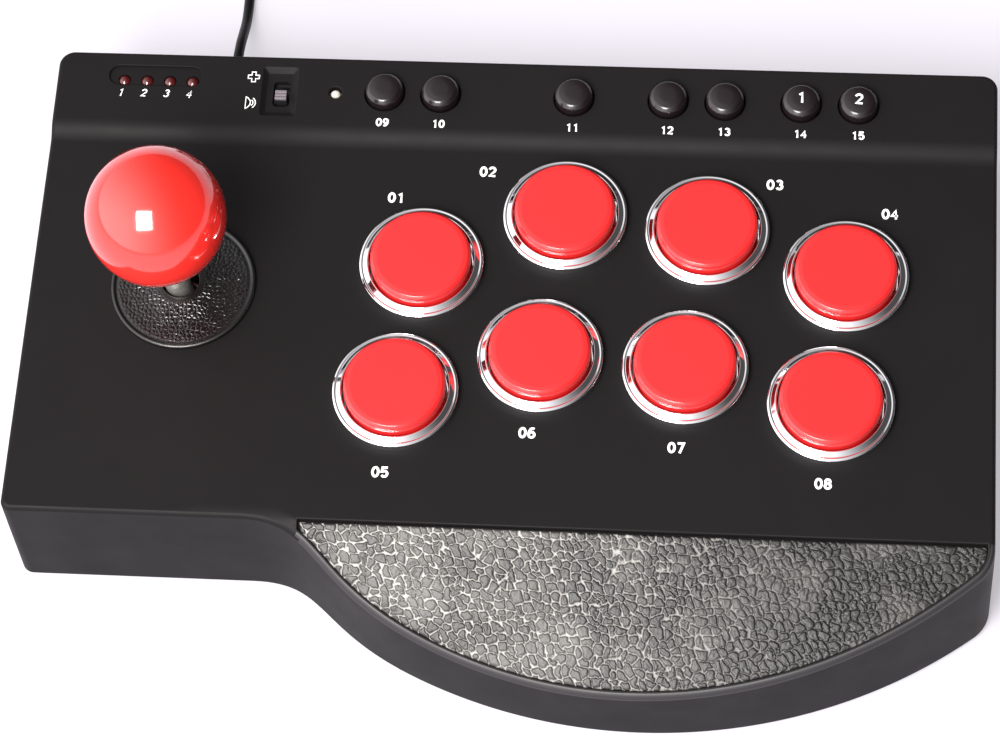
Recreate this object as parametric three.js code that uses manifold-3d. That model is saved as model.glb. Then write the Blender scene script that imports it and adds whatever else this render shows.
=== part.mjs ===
// Arcade joystick panel: a home arcade controller with a ball-top lever, eight chrome-ringed
// push buttons, a raised strip of function keys and a sloping palm rest.
//
// Units are millimetres. The origin is the centre of the footprint on the table, +X runs along
// the long side to the player's right, +Y points away from the player and +Z is up.

import * as THREE from 'three';
import { mergeVertices } from 'three/addons/utils/BufferGeometryUtils.js';
import Module from 'manifold-3d';

const wasm = await Module();
wasm.setup();

// ---------------------------------------------------------------- driving dimensions

const GAP = 0.3;                       // clearance kept between pieces that touch

// housing, all round
const HALF_WIDTH = 158.25;             // at the foot of the walls
const BACK_Y = 108.75;
const FRONT_LEFT_Y = -61.5;            // the straight front wall, left of the palm rest
const FOOT_HEIGHT = 2.5;
const PANEL_Z = 52;                    // the flat playing surface
const DRAFT = 1.2;                     // the walls lean in by this much from foot to panel
const WALL = 3.2;
const TOP_THICKNESS = 3;
const FRONT_LEFT_RADIUS = 4;
const BACK_RADIUS = 6.5;
const RIGHT_FRONT_RADIUS = 13;

// the round front of the palm rest
const BULGE = { x: 46.55, y: 63.75, r: 172.5 };
const BULGE_START = THREE.MathUtils.degToRad(-114.3);
const S_CURVE_START = new THREE.Vector2(-81.2, FRONT_LEFT_Y);
const S_CURVE_HANDLES = [25.3, 39];    // how far the S-curve follows each of its ends

// palm rest
const PALM_BACK_Y = -60.2;             // where the playing surface ends and the slope begins
const PALM_LEFT_X = -61.5;
const PALM_SLOPE = 0.45;               // fall per millimetre at the middle of the bulge
const PALM_TWIST = -0.001;             // the slope grows gentler to the right, per millimetre
const PALM_RIM = 2.4;
const PAD_DEPTH = 0.9;                 // the pad lies this far below the rim
const PAD_THICKNESS = 1.2;

// raised control strip along the back
const STRIP = { footY: 76.3, topY: 79.6, frontZ: 54.5, rise: 0.8 / 27.9 };
const STRIP_CEILING_Z = 51.8;

// big buttons
const BUTTONS = [
  [-28.9, 31.1], [16.9, 50.2], [63.4, 46.2], [108.6, 31.0],
  [-33.8, -15.3], [11.8, -1.2], [58.3, -3.7], [104.9, -15.0],
];
const BUTTON_HOLE_R = 18.35;
const BUTTON_TRAVEL = 3;
const PLUNGER_R = 16.5;
const PLUNGER_TOP_Z = 60.4;
const STEM_Z = 37.2;                   // lower end of the plunger's stem
const BARREL_Z = 33.5;                 // lower end of the threaded barrel

// function keys
const KEYS_X = [-45.9, -27.2, 17.3, 48.6, 67.4, 92.5, 111.4];
const KEYS_Y = 94.4;
const KEY_R = 6.4;
const KEY_TOP_Z = 59.2;
const KEY_FLANGE_R = 7.7;
const KEY_FLANGE_Z = 50.2;
const BOARD_TOP_Z = 47;                // the function board, under the keys

// player lights, indicator light and slide switch
const LIGHTS_X = [-134.1, -126.4, -118.7, -111.0];
const LIGHTS_Y = 97.1;
const LIGHT_R = 1.6;
const LIGHT_TOP_Z = 55.1;
const LIGHT_RECESS = { x0: -139.3, x1: -107.8, y: 98.7, halfWidth: 3.75, floorZ: 54.2 };
const INDICATOR = { x: -62.5, y: 94.1, r: 1.6, hole: 2.2 };
const WELL = { x: -81.4, y: 94.0, width: 11.6, length: 18, taper: 1.5, floorZ: 53.6 };
const SLOT = { x: -80.7, y: 93.6, width: 5.6, length: 9.6 };
const KNOB = { width: 4.1, length: 3.9, y: 92.6, topZ: 55.2 };

// joystick
const STICK = { x: -107.5, y: 21.1 };
const PIVOT_Z = 30;
const SHAFT_R = 4.25;
const BALL = { z: 98.6, r: 22.6 };
const WASHER = { x: -106.3, y: 21.4, r: 23.8, hole: 5.9, z: PANEL_Z + GAP };
const STICK_HOLE_R = 12;
const HOUSING = { half: 26, wall: 3, topZ: 45.2, plate: 2.2, bottomZ: 15 };
const PLATE_SCREWS = [[-32, -25], [32, -25], [-32, 25], [32, 25]];

// lead
const CORD_R = 1.8;
const CORD_SIDES = 8;
const EXIT = { x: -103.5, z: 16 };
const GLAND_END_Y = 122;
const COIL = { x: -78.2, y: 199, z: 0.1, meanR: 21.4, turnsWide: 3.8, turnsHigh: 4 };
const PLUG = { x: -27, y: 216.5, heading: -15 };

// ---------------------------------------------------------------- materials

function finish(color, roughness, metalness = 0) {
  return new THREE.MeshStandardMaterial({ color, roughness, metalness });
}

const SHELL_PLASTIC = finish(0x2f2f31, 0.55);
const PALM_VINYL = finish(0x77756f, 0.45);
const RED_PLASTIC = finish(0xe8322f, 0.2);
const KEY_PLASTIC = finish(0x2a2023, 0.2);
const WASHER_PLASTIC = finish(0x26241f, 0.35);
const CHROME = finish(0xd8d8da, 0.08, 1);
const STEEL = finish(0x9a9a98, 0.3, 1);
const MECHANISM_PLASTIC = finish(0x3a3a3c, 0.5);
const SWITCH_PLASTIC = finish(0x1d1d20, 0.4);
const KNOB_PLASTIC = finish(0xb9a9b4, 0.4);
const BOARD = finish(0x1e5a38, 0.5);
const RED_LENS = finish(0x8c1a16, 0.1);
const CLEAR_LENS = finish(0xe9e4dc, 0.1);
const RUBBER = finish(0x1b1b1c, 0.8);
const SILICONE = finish(0xb8b8b4, 0.7);

// ---------------------------------------------------------------- solids

// One closed body as a manifold solid: shared corners merged, needle faces dropped, faces out.
function solid(geometry) {
  const bare = geometry.clone();
  bare.deleteAttribute('normal');
  bare.deleteAttribute('uv');
  const merged = mergeVertices(bare, 1e-4);
  const places = merged.getAttribute('position').array;
  const corners = merged.getIndex().array;
  const triangles = [];
  const at = (i) => new THREE.Vector3().fromArray(places, 3 * i);
  let volume = 0;
  for (let i = 0; i < corners.length; i += 3) {
    const [a, b, c] = [corners[i], corners[i + 1], corners[i + 2]];
    if (a === b || b === c || c === a) continue;
    triangles.push([a, b, c]);
    volume += at(a).dot(at(b).cross(at(c)));
  }
  const ordered = volume < 0 ? triangles.map(([a, b, c]) => [a, c, b]) : triangles;
  return new wasm.Manifold(new wasm.Mesh({
    numProp: 3,
    vertProperties: new Float32Array(places),
    triVerts: new Uint32Array(ordered.flat()),
  }));
}

function geometryOf(body) {
  const mesh = body.getMesh();
  const geometry = new THREE.BufferGeometry();
  geometry.setAttribute('position', new THREE.BufferAttribute(new Float32Array(mesh.vertProperties), 3));
  geometry.setIndex(new THREE.BufferAttribute(new Uint32Array(mesh.triVerts), 1));
  geometry.computeVertexNormals();
  return geometry;
}

function join(bodies) {
  return bodies.reduce((sum, body) => sum.add(body));
}

function cut(body, tools) {
  return tools.reduce((rest, tool) => rest.subtract(tool), body);
}

function box(x0, x1, y0, y1, z0, z1) {
  const geometry = new THREE.BoxGeometry(x1 - x0, y1 - y0, z1 - z0);
  return solid(geometry.translate((x0 + x1) / 2, (y0 + y1) / 2, (z0 + z1) / 2));
}

// A square-edged block centred on (x, y).
function block(x, y, width, length, z0, z1) {
  return box(x - width / 2, x + width / 2, y - length / 2, y + length / 2, z0, z1);
}

function cylinder(x, y, r, z0, z1, sides = 16) {
  const geometry = new THREE.CylinderGeometry(r, r, z1 - z0, sides).rotateX(Math.PI / 2);
  return solid(geometry.translate(x, y, (z0 + z1) / 2));
}

// A cylinder lying along 'x' or 'y' through (x, y, z), reaching half a length each way.
function lyingCylinder(along, x, y, z, r, halfLength, sides = 12) {
  const geometry = new THREE.CylinderGeometry(r, r, 2 * halfLength, sides);
  if (along === 'x') geometry.rotateZ(Math.PI / 2);
  return solid(geometry.translate(x, y, z));
}

// A profile of [radius, height] pairs turned about the Z axis through (x, y).
function turned(profile, sides, x = 0, y = 0) {
  const points = profile.map(([r, z]) => new THREE.Vector2(r, z));
  const geometry = new THREE.LatheGeometry(points, sides).rotateX(Math.PI / 2);
  return solid(geometry.translate(x, y, 0));
}

// A shape in the XY plane, pulled up from z0 to z1.
function plate(points, z0, z1) {
  const geometry = new THREE.ExtrudeGeometry(new THREE.Shape(points), { depth: z1 - z0, bevelEnabled: false });
  return solid(geometry.translate(0, 0, z0));
}

// A body through rings of points: each level is { at, points } and all have as many points.
function loft(levels) {
  const count = levels[0].points.length;
  const places = levels.flatMap(({ at, points }) => points.flatMap((p) => [p.x, p.y, at]));
  const faces = [];
  for (let level = 0; level + 1 < levels.length; level += 1) {
    for (let i = 0; i < count; i += 1) {
      const a = level * count + i;
      const b = level * count + ((i + 1) % count);
      faces.push(a, b, b + count, a, b + count, a + count);
    }
  }
  const last = (levels.length - 1) * count;
  for (const [a, b, c] of THREE.ShapeUtils.triangulateShape(levels[0].points, [])) {
    faces.push(a, c, b);
  }
  for (const [a, b, c] of THREE.ShapeUtils.triangulateShape(levels.at(-1).points, [])) {
    faces.push(last + a, last + b, last + c);
  }
  const geometry = new THREE.BufferGeometry();
  geometry.setAttribute('position', new THREE.Float32BufferAttribute(places, 3));
  geometry.setIndex(faces);
  return geometry;
}

function arc(cx, cy, r, from, to, steps) {
  const points = [];
  for (let i = 0; i <= steps; i += 1) {
    const angle = from + (to - from) * (i / steps);
    points.push(new THREE.Vector2(cx + r * Math.cos(angle), cy + r * Math.sin(angle)));
  }
  return points;
}

// ---------------------------------------------------------------- scene graph

const group = new THREE.Group();

function add(name, body, material, position = [0, 0, 0], heading = 0) {
  const mesh = new THREE.Mesh(geometryOf(body), material);
  mesh.name = name;
  mesh.position.set(...position);
  mesh.rotation.z = heading;
  group.add(mesh);
}

// ---------------------------------------------------------------- outline of the housing

// Plan outline, counter-clockwise from the front left corner, moved in by `inset`.
function outline(inset) {
  const { PI } = Math;
  const cornerR = (r) => Math.max(r - inset, 0.4);
  const frontLeft = arc(
    -HALF_WIDTH + FRONT_LEFT_RADIUS, FRONT_LEFT_Y + FRONT_LEFT_RADIUS, cornerR(FRONT_LEFT_RADIUS), PI, 1.5 * PI, 3,
  );

  const bulgeStart = new THREE.Vector2(
    BULGE.x + BULGE.r * Math.cos(BULGE_START), BULGE.y + BULGE.r * Math.sin(BULGE_START),
  );
  const bulgeTangent = new THREE.Vector2(-Math.sin(BULGE_START), Math.cos(BULGE_START));
  const sCurve = new THREE.CubicBezierCurve(
    S_CURVE_START,
    S_CURVE_START.clone().add(new THREE.Vector2(S_CURVE_HANDLES[0], 0)),
    bulgeStart.clone().addScaledVector(bulgeTangent, -S_CURVE_HANDLES[1]),
    bulgeStart,
  );
  const sPoints = [];
  const sSteps = 9;
  for (let i = 0; i < sSteps; i += 1) {
    const along = sCurve.getTangent(i / sSteps);
    sPoints.push(sCurve.getPoint(i / sSteps).add(new THREE.Vector2(-along.y, along.x).multiplyScalar(inset)));
  }

  const cornerX = HALF_WIDTH - RIGHT_FRONT_RADIUS;
  const cornerY = BULGE.y - Math.sqrt((BULGE.r - RIGHT_FRONT_RADIUS) ** 2 - (cornerX - BULGE.x) ** 2);
  const bulgeEnd = Math.atan2(cornerY - BULGE.y, cornerX - BULGE.x);
  const bulge = arc(BULGE.x, BULGE.y, BULGE.r - inset, BULGE_START, bulgeEnd, 20);
  const frontRight = arc(cornerX, cornerY, cornerR(RIGHT_FRONT_RADIUS), bulgeEnd, 0, 4).slice(1);

  const backX = HALF_WIDTH - BACK_RADIUS;
  const backY = BACK_Y - BACK_RADIUS;
  const backRight = arc(backX, backY, cornerR(BACK_RADIUS), 0, PI / 2, 3);
  const backLeft = arc(-backX, backY, cornerR(BACK_RADIUS), PI / 2, PI, 3);
  return [...frontLeft, ...sPoints, ...bulge, ...frontRight, ...backRight, ...backLeft];
}

// The drafted prism on that outline, between two heights.
function prism(inset, z0, z1) {
  const leanAt = (z) => (DRAFT * (z - FOOT_HEIGHT)) / (PANEL_Z - FOOT_HEIGHT);
  return solid(loft([
    { at: z0, points: outline(inset + leanAt(z0)) },
    { at: z1, points: outline(inset + leanAt(z1)) },
  ]));
}

function slopeAt(x) {
  return PALM_SLOPE + PALM_TWIST * (x - BULGE.x);
}

// Everything below the top face: the palm slope, the playing surface and the raised strip.
// `drop` lowers the slope and the playing surface, `stripZ` sets the strip's height.
function crown(drop, stripZ = (y) => STRIP.frontZ + STRIP.rise * (y - STRIP.topY)) {
  const farY = 130;
  const panelZ = PANEL_Z - drop;
  const stations = [-170, -62, -20, 25, 70, 115, 170];
  const levels = stations.map((x) => {
    const section = [
      [-farY, -20], [farY, -20], [farY, stripZ(farY)], [STRIP.topY, stripZ(STRIP.topY)],
      [STRIP.footY, panelZ], [PALM_BACK_Y, panelZ], [-farY, panelZ - slopeAt(x) * (farY + PALM_BACK_Y)],
    ];
    return { at: x, points: section.map(([y, z]) => new THREE.Vector2(y, z)) };
  });
  const turn = new THREE.Matrix4().set(0, 0, 1, 0, 1, 0, 0, 0, 0, 1, 0, 0, 0, 0, 0, 1);
  return solid(loft(levels).applyMatrix4(turn));
}

// The part of a body that lies in the palm rest's recess, seen from above.
function palmArea(inset, gap) {
  const area = box(PALM_LEFT_X + gap, HALF_WIDTH + 10, -125, PALM_BACK_Y - gap, 0, 70);
  return prism(inset, FOOT_HEIGHT, 60).intersect(area);
}

// ---------------------------------------------------------------- top shell

const BOSSES = [
  [-146, 96], [-60, 72], [40, 76], [146, 96], [-146, -49], [-70, -46], [138, -56], [30, -92], [84, -84],
];
const BOSS_R = 4;
const BASE_TOP_Z = FOOT_HEIGHT + 3;

function pill(x0, x1, y, halfWidth) {
  return [
    ...arc(x0 + halfWidth, y, halfWidth, Math.PI / 2, 1.5 * Math.PI, 8),
    ...arc(x1 - halfWidth, y, halfWidth, -Math.PI / 2, Math.PI / 2, 8),
  ];
}

// The slide switch's well, with sides that slope in towards its floor.
function switchWell() {
  const rectangle = (inset) => {
    const x = WELL.width / 2 - inset;
    const y = WELL.length / 2 - inset;
    const corners = [[-x, -y], [x, -y], [x, y], [-x, y]];
    return corners.map(([dx, dy]) => new THREE.Vector2(WELL.x + dx, WELL.y + dy));
  };
  const mouthZ = 55.8;
  return solid(loft([
    { at: WELL.floorZ, points: rectangle(WELL.taper) },
    { at: mouthZ, points: rectangle(-0.3) },
  ]));
}

function topShell() {
  const outer = prism(0, FOOT_HEIGHT, 60).intersect(crown(0));
  const ceiling = crown(TOP_THICKNESS, () => STRIP_CEILING_Z);
  const palmCeiling = palmArea(-5, -4).subtract(crown(PAD_DEPTH + PAD_THICKNESS + GAP + 2.6));
  const cavity = prism(WALL, -5, 60).intersect(ceiling).subtract(palmCeiling);
  const palmRecess = palmArea(PALM_RIM, 0).subtract(crown(PAD_DEPTH + PAD_THICKNESS + GAP));

  const boss = ([x, y]) => cylinder(x, y, BOSS_R, BASE_TOP_Z + GAP, STRIP_CEILING_Z + 1, 8).intersect(crown(1.5));
  const pilotHole = ([x, y]) => cylinder(x, y, 1.3, 0, BASE_TOP_Z + 12, 6);
  const stickPost = ([dx, dy]) => (
    cylinder(STICK.x + dx, STICK.y + dy, 3, HOUSING.topZ + HOUSING.plate + GAP, PANEL_Z - 1.5, 8)
  );
  const boardPost = (x) => cylinder(x, 86.2, 1.8, BOARD_TOP_Z + GAP, STRIP_CEILING_Z + 1, 8);

  const withPosts = join([
    outer.subtract(cavity),
    ...BOSSES.map(boss),
    ...PLATE_SCREWS.map(stickPost),
    ...[-100, -5, 80, 120].map(boardPost),
  ]);

  return cut(withPosts, [
    palmRecess,
    ...BOSSES.map(pilotHole),
    ...BUTTONS.map(([x, y]) => cylinder(x, y, BUTTON_HOLE_R, 40, 60, 20)),
    ...KEYS_X.map((x) => cylinder(x, KEYS_Y, KEY_R + 0.4, 45, 60, 14)),
    cylinder(STICK.x, STICK.y, STICK_HOLE_R, 40, 60, 20),
    plate(pill(LIGHT_RECESS.x0, LIGHT_RECESS.x1, LIGHT_RECESS.y, LIGHT_RECESS.halfWidth), LIGHT_RECESS.floorZ, 60),
    ...LIGHTS_X.map((x) => cylinder(x, LIGHTS_Y, LIGHT_R + 0.25, 45, 60, 12)),
    cylinder(INDICATOR.x, INDICATOR.y, INDICATOR.hole, 45, 60, 12),
    switchWell(),
    block(SLOT.x, SLOT.y, SLOT.width, SLOT.length, 45, 60),
    lyingCylinder('y', EXIT.x, BACK_Y, EXIT.z, 4, 12),
  ]);
}

add('top_shell', topShell(), SHELL_PLASTIC);

// ---------------------------------------------------------------- palm pad

const padBody = palmArea(PALM_RIM + GAP, 2 * GAP)
  .intersect(crown(PAD_DEPTH))
  .subtract(crown(PAD_DEPTH + PAD_THICKNESS));
add('palm_pad', padBody, PALM_VINYL);

// ---------------------------------------------------------------- base cover and feet

const FEET = { rear_left: [-138, 84], rear_right: [138, 84], front_left: [-138, -38], front_right: [104, -70] };
const FOOT_R = 9;
const FOOT_TOP_Z = 3.2;
const MAIN_BOARD = { x0: -62, x1: 42, y0: -46, y1: 62, z: 12 };

function baseCover() {
  const floor = prism(WALL + 0.4, FOOT_HEIGHT, BASE_TOP_Z);
  const boardPosts = [MAIN_BOARD.x0 + 5, MAIN_BOARD.x1 - 5].flatMap((x) => (
    [MAIN_BOARD.y0 + 5, MAIN_BOARD.y1 - 5].map((y) => cylinder(x, y, 3, FOOT_HEIGHT + 1, MAIN_BOARD.z - GAP, 8))
  ));
  const ribs = [-90, 60].map((x) => box(x - 1, x + 1, -50, 100, BASE_TOP_Z - 1, BASE_TOP_Z + 3));
  return cut(join([floor, ...boardPosts, ...ribs]), [
    ...Object.values(FEET).map(([x, y]) => cylinder(x, y, FOOT_R + GAP, 0, FOOT_TOP_Z + GAP, 16)),
    ...BOSSES.map(([x, y]) => cylinder(x, y, 1.8, 0, 10, 6)),
    ...BOSSES.map(([x, y]) => cylinder(x, y, 3.4, 0, FOOT_HEIGHT + 1.2, 8)),
  ]);
}

add('base_cover', baseCover(), SHELL_PLASTIC);

const footBody = turned([[0, 0], [FOOT_R - 1, 0], [FOOT_R, 1], [FOOT_R, FOOT_TOP_Z], [0, FOOT_TOP_Z]], 16);
for (const [place, [x, y]] of Object.entries(FEET)) {
  add(`foot_${place}`, footBody, RUBBER, [x, y, 0]);
}

// ---------------------------------------------------------------- big buttons

const bezelBody = turned([
  [17.1, 55.4], [18.5, 56.4], [20, 54.4], [20, PANEL_Z + GAP], [18, PANEL_Z + GAP], [18, BARREL_Z],
  [5, BARREL_Z], [5, BARREL_Z + 2], [17.1, BARREL_Z + 2], [17.1, 55.4],
], 20);
const plungerBody = turned([
  [0, PLUNGER_TOP_Z], [14.8, PLUNGER_TOP_Z], [PLUNGER_R, PLUNGER_TOP_Z - 1.6], [PLUNGER_R, 44], [14.8, 44],
  [14.8, PLUNGER_TOP_Z - 2.4], [4, PLUNGER_TOP_Z - 2.4], [4, STEM_Z], [0, STEM_Z],
], 20);

// A snap-action microswitch: case, short plunger and three tabs.
function microswitch(topZ) {
  const bottomZ = topZ - 10;
  return join([
    block(0, 0, 20, 6.4, bottomZ, topZ),
    block(2.5, 0, 3, 2, topZ - 0.5, topZ + 0.5),
    ...[-8, 0, 8].map((x) => block(x, 0, 0.8, 3.2, bottomZ - 4, bottomZ + 0.5)),
  ]);
}

const switchBody = microswitch(STEM_Z - BUTTON_TRAVEL - GAP - 0.5 - 0.4);
BUTTONS.forEach(([x, y], i) => {
  add(`button_bezel_${i + 1}`, bezelBody, CHROME, [x, y, 0]);
  add(`button_plunger_${i + 1}`, plungerBody, RED_PLASTIC, [x, y, 0]);
  add(`button_switch_${i + 1}`, switchBody, SWITCH_PLASTIC, [x, y, 0]);
});

// ---------------------------------------------------------------- function keys and their board

const keyBody = turned([
  [0, KEY_TOP_Z], [3.8, KEY_TOP_Z - 0.2], [5.5, KEY_TOP_Z - 0.9], [KEY_R, KEY_TOP_Z - 2.2],
  [KEY_R, KEY_FLANGE_Z + 1], [KEY_FLANGE_R, KEY_FLANGE_Z + 1], [KEY_FLANGE_R, KEY_FLANGE_Z],
  [0, KEY_FLANGE_Z],
], 14);
KEYS_X.forEach((x, i) => add(`function_key_${i + 1}`, keyBody, KEY_PLASTIC, [x, KEYS_Y, 0]));

const stripBody = join([
  box(-55, 120.5, 88.5, 100, BOARD_TOP_Z + GAP, BOARD_TOP_Z + 1.1),
  ...KEYS_X.map((x) => cylinder(x, KEYS_Y, 3, BOARD_TOP_Z + 0.8, BOARD_TOP_Z + 1.9, 8)),
]);
add('dome_strip', stripBody, SILICONE);
add('function_board', box(-140, 124, 84.5, 104, BOARD_TOP_Z - 1.6, BOARD_TOP_Z), BOARD);

// ---------------------------------------------------------------- lights

const lightProfile = (topZ, r) => [[0, 50.8], [r, 50.8], [r, topZ - 1.1], [r * 0.7, topZ - 0.35], [0, topZ]];
const lightBar = join([
  box(LIGHTS_X[0] - 4, LIGHTS_X[3] + 4, LIGHTS_Y - 3, LIGHTS_Y + 3, 50, STRIP_CEILING_Z - GAP),
  ...LIGHTS_X.map((x) => turned(lightProfile(LIGHT_TOP_Z, LIGHT_R), 12, x, LIGHTS_Y)),
]);
add('player_light_bar', lightBar, RED_LENS);

const indicatorBody = turned([
  [0, 50], [2.6, 50], [2.6, STRIP_CEILING_Z - GAP], [INDICATOR.r, STRIP_CEILING_Z - GAP],
  [INDICATOR.r, 54.1], [0, 54.7],
], 12, INDICATOR.x, INDICATOR.y);
add('indicator_light', indicatorBody, CLEAR_LENS);

// ---------------------------------------------------------------- slide switch

const KNOB_FOOT_Z = 48.8;
const slideBody = block(SLOT.x, SLOT.y, 9, 15, BOARD_TOP_Z + GAP, 50.8)
  .subtract(block(SLOT.x, SLOT.y, KNOB.width + 0.8, SLOT.length - 0.8, KNOB_FOOT_Z - GAP, 55));
add('slide_switch', slideBody, STEEL);

const knobBody = join([
  block(0, 0, KNOB.width, KNOB.length, KNOB_FOOT_Z, KNOB.topZ - 0.6),
  block(0, 0, KNOB.width - 0.6, KNOB.length - 0.6, KNOB.topZ - 1, KNOB.topZ),
]);
add('slide_knob', knobBody, KNOB_PLASTIC, [SLOT.x, KNOB.y, 0]);

// ---------------------------------------------------------------- joystick

const shaftBody = join([
  turned([[0, 8.5], [3, 8.5], [3, 26], [SHAFT_R, 26], [SHAFT_R, 74.5], [3, 74.5], [3, 91], [0, 91]], 16),
  lyingCylinder('y', 0, 0, PIVOT_Z, 1.5, 16.8, 10),
]);
add('stick_shaft', shaftBody, STEEL, [STICK.x, STICK.y, 0]);

const sphere = solid(new THREE.SphereGeometry(BALL.r, 22, 12).rotateX(Math.PI / 2).translate(0, 0, BALL.z));
const ballBody = sphere.subtract(cylinder(0, 0, 3.3, 70, 91.6, 16));
add('ball_top', ballBody, RED_PLASTIC, [STICK.x, STICK.y, 0]);

const actuatorBody = turned([[3.4, 10], [6.4, 10], [7, 10.6], [7, 21.4], [6.4, 22], [3.4, 22], [3.4, 10]], 16);
add('actuator', actuatorBody, MECHANISM_PLASTIC, [STICK.x, STICK.y, 0]);

class Helix extends THREE.Curve {
  constructor(r, turns, z0, z1) {
    super();
    Object.assign(this, { r, turns, z0, z1 });
  }

  getPoint(t, target = new THREE.Vector3()) {
    const angle = 2 * Math.PI * this.turns * t;
    return target.set(this.r * Math.cos(angle), this.r * Math.sin(angle), this.z0 + (this.z1 - this.z0) * t);
  }
}

function roundSection(r, sides) {
  return new THREE.Shape(arc(0, 0, r, 0, 2 * Math.PI * (1 - 1 / sides), sides - 1));
}

function route(points) {
  return new THREE.CatmullRomCurve3(points.map((p) => new THREE.Vector3(...p)), false, 'centripetal');
}

function tube(curve, r, sides, steps) {
  const options = { steps, bevelEnabled: false, extrudePath: curve };
  return solid(new THREE.ExtrudeGeometry(roundSection(r, sides), options));
}

add('centring_spring', tube(new Helix(6.6, 4, 35.4, 43.6), 0.7, 5, 36), STEEL, [STICK.x, STICK.y, 0]);

// The pivot ring tilts in the housing about X, and the shaft tilts in the ring about Y.
const ringBlock = block(0, 0, 34, 34, PIVOT_Z - 2.8, PIVOT_Z + 2.8).subtract(block(0, 0, 24, 24, 20, 40));
const ringBody = cut(
  join([ringBlock, ...[-21, 21].map((x) => lyingCylinder('x', x, 0, PIVOT_Z, 2, 4.4, 10))]),
  [lyingCylinder('y', 0, 0, PIVOT_Z, 1.9, 30, 10)],
);
add('pivot_ring', ringBody, MECHANISM_PLASTIC, [STICK.x, STICK.y, 0]);

const wellHalf = HOUSING.half - HOUSING.wall;
const housingBody = cut(
  join([
    block(0, 0, 2 * HOUSING.half, 2 * HOUSING.half, HOUSING.bottomZ, HOUSING.topZ + 1),
    block(0, 0, 72, 58, HOUSING.topZ, HOUSING.topZ + HOUSING.plate),
  ]),
  [
    block(0, 0, 2 * wellHalf, 2 * wellHalf, 0, HOUSING.topZ),
    cylinder(0, 0, 13, 40, 50, 20),
    lyingCylinder('x', 0, 0, PIVOT_Z, 2.3, 40, 12),
    ...PLATE_SCREWS.map(([x, y]) => cylinder(x, y, 1.6, 40, 50, 8)),
  ],
);
add('stick_housing', housingBody, MECHANISM_PLASTIC, [STICK.x, STICK.y, 0]);

const gateBody = block(0, 0, 2 * HOUSING.half, 2 * HOUSING.half, HOUSING.bottomZ - GAP - 2.4, HOUSING.bottomZ - GAP)
  .subtract(block(0, 0, 20.8, 20.8, 0, 20));
add('gate_plate', gateBody, STEEL, [STICK.x, STICK.y, 0]);

const boardHalf = wellHalf - 0.4;
const stickBoard = join([
  block(0, 0, 2 * boardHalf, 2 * boardHalf, 16, 17.6).subtract(block(0, 0, 20.4, 20.4, 0, 20)),
  ...[[0, 1], [0, -1], [1, 0], [-1, 0]].map(([x, y]) => (
    block(13.2 * x, 13.2 * y, x ? 6 : 12, y ? 6 : 12, 17, 23)
  )),
]);
add('stick_switch_board', stickBoard, BOARD, [STICK.x, STICK.y, 0]);

const washerBody = turned([
  [WASHER.hole, WASHER.z], [WASHER.hole, WASHER.z + 2.2], [8.6, WASHER.z + 1.8], [14, WASHER.z + 1.2],
  [21.9, WASHER.z + 1.0], [22.5, WASHER.z + 1.6], [23.3, WASHER.z + 1.6], [WASHER.r, WASHER.z + 0.9],
  [WASHER.r, WASHER.z], [WASHER.hole, WASHER.z],
], 20);
add('dust_washer', washerBody, WASHER_PLASTIC, [WASHER.x, WASHER.y, 0]);

const underWasherBody = turned([[10.6, 47.7], [21, 47.7], [21, 48.7], [10.6, 48.7], [10.6, 47.7]], 20);
add('under_washer', underWasherBody, MECHANISM_PLASTIC, [STICK.x, STICK.y, 0]);

// ---------------------------------------------------------------- main board

const { x0, x1, y0, y1, z: boardZ } = MAIN_BOARD;
add('main_board', join([
  box(x0, x1, y0, y1, boardZ, boardZ + 1.6),
  block(-10, 10, 14, 14, boardZ + 1, boardZ + 3.2),
  block(20, 30, 10, 6, boardZ + 1, boardZ + 3),
  block(-46, 40, 18, 6, boardZ + 1, boardZ + 6),
  block(-46, -20, 18, 6, boardZ + 1, boardZ + 6),
]), BOARD);

// ---------------------------------------------------------------- lead, coil and plug

const glandBody = solid(new THREE.LatheGeometry([
  [0, 103.4], [5.4, 103.4], [5.4, 104.8], [3.7, 104.8], [3.7, 108.8], [4.6, 108.8], [4.6, 110.4],
  [3.3, 111.4], [2.4, GLAND_END_Y], [0, GLAND_END_Y],
].map(([r, y]) => new THREE.Vector2(r, y)), 12));
add('cable_gland', glandBody, RUBBER, [EXIT.x, 0, EXIT.z]);

const leadRoute = [
  [EXIT.x, GLAND_END_Y + GAP, EXIT.z], [-103.6, 127, 15.9], [-103.7, 132, 15.0], [-103.8, 138, 12.6],
  [-103.9, 144, 9.1], [-104.0, 150, 5.6], [-104.2, 156, 3.1], [-104.4, 162, 2.0], [-104.5, 168, 1.9],
  [-104.6, 174, 1.9], [-104.6, 179, 1.9], [-104.6, COIL.y - 15.5, 1.9],
];
add('cord_lead', tube(route(leadRoute), CORD_R, CORD_SIDES, 20), RUBBER);

const halfBand = COIL.turnsWide * CORD_R;
const coilTop = COIL.z + 2 * COIL.turnsHigh * CORD_R;
const [coilInner, coilOuter] = [COIL.meanR - halfBand, COIL.meanR + halfBand];
const coilBody = turned([
  [coilInner, COIL.z], [coilOuter, COIL.z], [coilOuter, coilTop], [coilInner, coilTop], [coilInner, COIL.z],
], 28);
add('cord_coil', coilBody, RUBBER, [COIL.x, COIL.y, 0]);

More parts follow.
